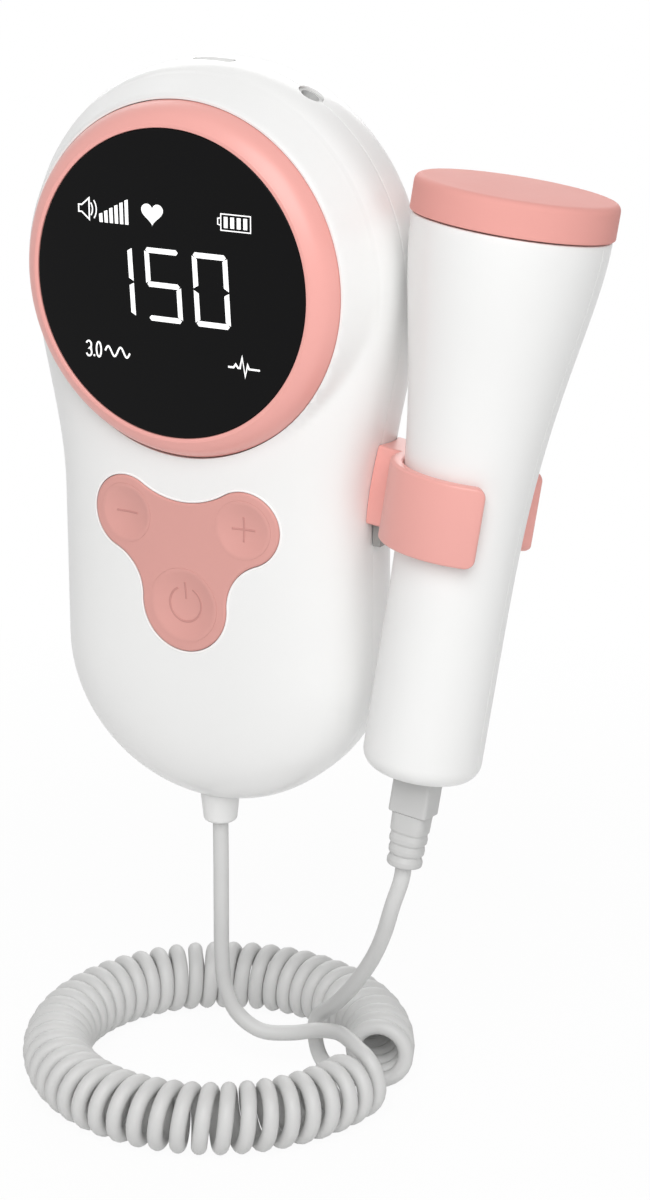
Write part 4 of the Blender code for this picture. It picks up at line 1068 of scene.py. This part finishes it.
clip = surface("probe_clip_band", placed(clip_band(), probe_place))
foot_outline = rounded_box_outline(12.2 * mm, 10.6 * mm, 1.0 * mm) + [-14.7 * mm, 5.3 * mm]
foot = prism("clip_foot", [foot_outline], -9.45 * mm, 5.05 * mm, probe_place)
bevel = foot.modifiers.new("edges", "BEVEL")
bevel.width = 0.5 * mm
bevel.segments = 4
bevel.limit_method = "ANGLE"
housing_gap = 0.12 * mm
beside = surface("beside_housing", np.concatenate([
    rear_skin(-housing_gap, 40, 192)[::-1], front_skin(-housing_gap, 40, 192)[1:]]))
rail_outline = rounded_box_outline(8.0 * mm, 8.3 * mm, 0.1 * mm) + [29.4 * mm, -11.55 * mm]
rail_way = prism("rail_way", [rail_outline], -40.0 * mm, 1.3 * mm, Matrix.Identity(4))
foot_bore = 13.2 * mm
probe_way = rod("probe_way", foot_bore, -40.0 * mm, 40.0 * mm, probe_place, 128)
cut(foot, [probe_way, beside, rail_way])
cut(clip, [foot], "UNION")
finished(clip, "unit", pink_clip, ["probe_clip"])
print("clip", len(clip.data.polygons), "faces")


# %% [markdown]
# Plug and sleeves. A short block plugs into the handle's end. Below it a ribbed sleeve keeps the
# cord from kinking, and a plain tapered sleeve does the same at the unit's foot. The ribbed one is
# boxy under the block and round at its end: its section is (|cos|^n + |sin|^n)^(-1/n), whose power
# n falls from 4.5 to 2.

# %% Plug, strain relief and gland
plug_top = probe_low - 0.1 * mm
plug_low = plug_top - 7.7 * mm
plug_size = np.array([7.6, 5.9]) * mm
plug_edge = 0.3 * mm
turn = circle(np.linspace(0.0, np.pi / 2, 8))
low_end = np.column_stack([plug_edge * (1 - turn[:, 1]), plug_low + plug_edge * (1 - turn[:, 0])])
high_end = low_end[::-1] * [1.0, -1.0] + [0.0, plug_low + plug_top]
rows = [np.column_stack([rounded_box_outline(*plug_size - 2 * inset, 0.7 * mm - 0.8 * inset, 8),
                         np.full(32, level)]) for inset, level in [*low_end, *high_end]]
plug = surface("plug_block", placed(np.array(rows), probe_place))
finished(plug, "plug", grey_rubber, ["plug_housing"])

# The sleeve's profile is in millimetres: three grooves, each a little deeper than the one above.
relief_top = plug_low - 0.03 * mm
relief_radius, rib_pitch = 3.3, 2.1
corners = [(0.4, relief_top / mm), (relief_radius, relief_top / mm, 0.2)]
for k, depth in enumerate((0.26, 0.3, 0.42)):
    rib_top = relief_top / mm - 3.4 - rib_pitch * k
    corners += [(relief_radius, rib_top, 0.3), (relief_radius - depth, rib_top - 0.45, 0.2),
                (relief_radius, rib_top - 1.4, 0.5)]
corners += [(relief_radius, relief_end / mm, 1.3), (0.4, relief_end / mm)]
sleeve = rounded(corners, steps=7) * mm
share = np.clip((relief_top - sleeve[:, 1:]) / (relief_top - relief_end), 0.0, 1.0)
angle = full_turn(96)
round_to = 4.5 - 2.5 * np.clip(share / 0.75, 0.0, 1.0)
boxy = (abs(np.cos(angle)) ** round_to + abs(np.sin(angle)) ** round_to) ** (-1 / round_to)
points = swung(sleeve[:, :1] * boxy, sleeve[:, 1:], angle)
points[..., 0] *= 1.02 - 0.03 * share
points[..., 1] *= 0.82 + 0.17 * share
relief = surface("cord_strain_relief", placed(points, probe_place), sharp=70.0)
finished(relief, "plug", grey_rubber, ["strain_relief"])

gland_profile = rounded([(0.4, 4.0), (3.7, 4.0), (3.7, 0.0), (3.15, -5.2, 0.9), (0.4, -5.2)],
                        steps=9) * mm
gland = turned("cord_sleeve", gland_profile, gland_place, 96)
# The sleeve is the cord's pale rubber, painted a lighter white than the cord to cancel the shade it
# sits in under the unit's foot.
sleeve_painted_lighter = moulded("sleeve_painted_lighter", (238, 238, 237), 0.44, 0.4, 0.01)
finished(gland, "unit", sleeve_painted_lighter, ["cord_gland"])

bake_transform(cord)

# %% [markdown]
# Screws. The four housing screws have countersunk heads with a cross for the driver. Head and shank
# are turned in one profile, and two crossed bars with round ends cut the cross.

# %% Screws
steel = moulded("steel", (198, 198, 196), 0.37, 0.25, 0.004, 0.1, Metallic=1.0)
screw_profile = rounded([(0.2, -11.8), (1.1, -10.8), (1.1, -3.2), (2.75, -2.2, 0.1),
                         (2.75, -1.05, 0.25), (0.2, -0.95)]) * mm
bar_outline = rounded_box_outline(3.0 * mm, 0.55 * mm, 0.2 * mm)
names = ("upper_left", "upper_right", "lower_left", "lower_right")
for name, (x, z) in zip(names, screw_places):
    place = place_at(x * mm, 0.0, z * mm) @ turned_by(-90.0, "X")
    screw = turned("housing_screw_" + name, screw_profile, place, 48)
    bars = [prism(f"cross_{name}_{k}", [bar_outline], -1.9 * mm, 0.0,
                  place @ turned_by(35.0 + 90.0 * k, "Z")) for k in (0, 1)]
    finished(cut(screw, bars), "unit", steel, ["screw_" + name])
print("screws", len(names))

# %% [markdown]
# Carried-over pieces. The inside of the unit and the probe keeps its CAD form and gets finishes that
# fit what each piece is: circuit board, battery film, steel, brass and dark moulded plastic. The
# clip's rail gets a mid grey that is painted shade under the clip's foot.

# %% Finishes for the inner pieces
black_plastic = moulded("black_plastic", (34, 34, 35), 0.45, 0.5, 0.01)
pale_socket = moulded("pale_socket", (214, 214, 213), 0.45, 0.5, 0.006)
frame_white = moulded("frame_white", (226, 226, 222), 0.5, 0.5, 0.01)
panel_grey = moulded("panel_grey", (88, 92, 98), 0.37, 0.8, 0.003)
board_green = moulded("board_green", (36, 110, 66), 0.4, 0.3, 0.02, 0.25)
battery_film = moulded("battery_film", (170, 174, 180), 0.38, 2.0, 0.02, 0.12)
brass = moulded("brass", (206, 172, 96), 0.38, 0.25, 0.004, 0.1, Metallic=1.0)
carried = {
    black_plastic: ["probe_socket", "switch_minus", "switch_plus", "switch_power", "speaker"],
    pale_socket: ["earphone_jack"],
    frame_white: ["lcd_frame"], panel_grey: ["lcd_panel"],
    board_green: ["main_board", "probe_board"], battery_film: ["battery_pack"],
    steel: ["charge_port", "plug_tongue"],
    brass: ["transducer_disc"], rail_grey_painted_shade: ["clip_rail"],
}
pairs = [(name, material) for material, names in carried.items() for name in names]
for name, material in pairs:
    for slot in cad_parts[name].material_slots:
        slot.material = material
print("carried over", len(pairs), "pieces")

# %% [markdown]
# Floor and light. The photograph has a plain white ground with hardly any shadow. The floor is a
# wide pale plane that the curls lie on. Camera rays see it as white, and a part of its shading is
# kept, so that it still holds the soft shadow. Large soft panels light the object at a plain level.

# %% Floor, world and lamps
scene.view_settings.view_transform = "Standard"
half = 6.0
floor_mesh = bpy.data.meshes.new("floor")
floor_mesh.from_pydata([(x, y, floor_level) for x, y in (
    (-half, -half), (half, -half), (half, half), (-half, half))], [], [(0, 1, 2, 3)])
floor = added("floor", floor_mesh)
paper = Finish("white_paper", (245, 245, 245), 0.9)
glow = paper.node("ShaderNodeEmission", {}, {"Color": white, "Strength": 1.0})
diffuse = Wire(paper, paper.shader.outputs["BSDF"])
reach = paper.node("ShaderNodeVectorMath", {"operation": "LENGTH"}, (paper.place,), output=1)
far = paper.node("ShaderNodeMapRange", {"clamp": True}, (reach, 0.12, 0.3, 0.94, 1.0))
shown = paper.node("ShaderNodeMixShader", {},
                   (paper.seen_by("Camera", "Glossy") * far, diffuse, glow))
paper.put(paper.tree.nodes["Material Output"].inputs["Surface"], shown)
floor_mesh.materials.append(paper.material)

scene.world = bpy.data.worlds.new("studio")
scene.world.use_nodes = True
studio = Network(scene.world.node_tree)
background = studio.tree.nodes["Background"].inputs
studio.put(background["Color"], white)
studio.put(background["Strength"], studio.seen_by("Camera", "Glossy", "Transmission") * 0.7 + 0.3)


def panel(name, location, size, watts):
    """Square area lamp at a place, facing the middle of the object."""
    data = bpy.data.lights.new(name, "AREA")
    data.size = size
    data.energy = watts
    added(name, data, location, Vector(location) - Vector((0.0, 0.0, -0.02)))


panel("front_high", (0.42, -0.76, 0.68), 0.8, 8.95)
panel("back_soft", (-0.45, 0.8, 0.5), 0.8, 3.6)
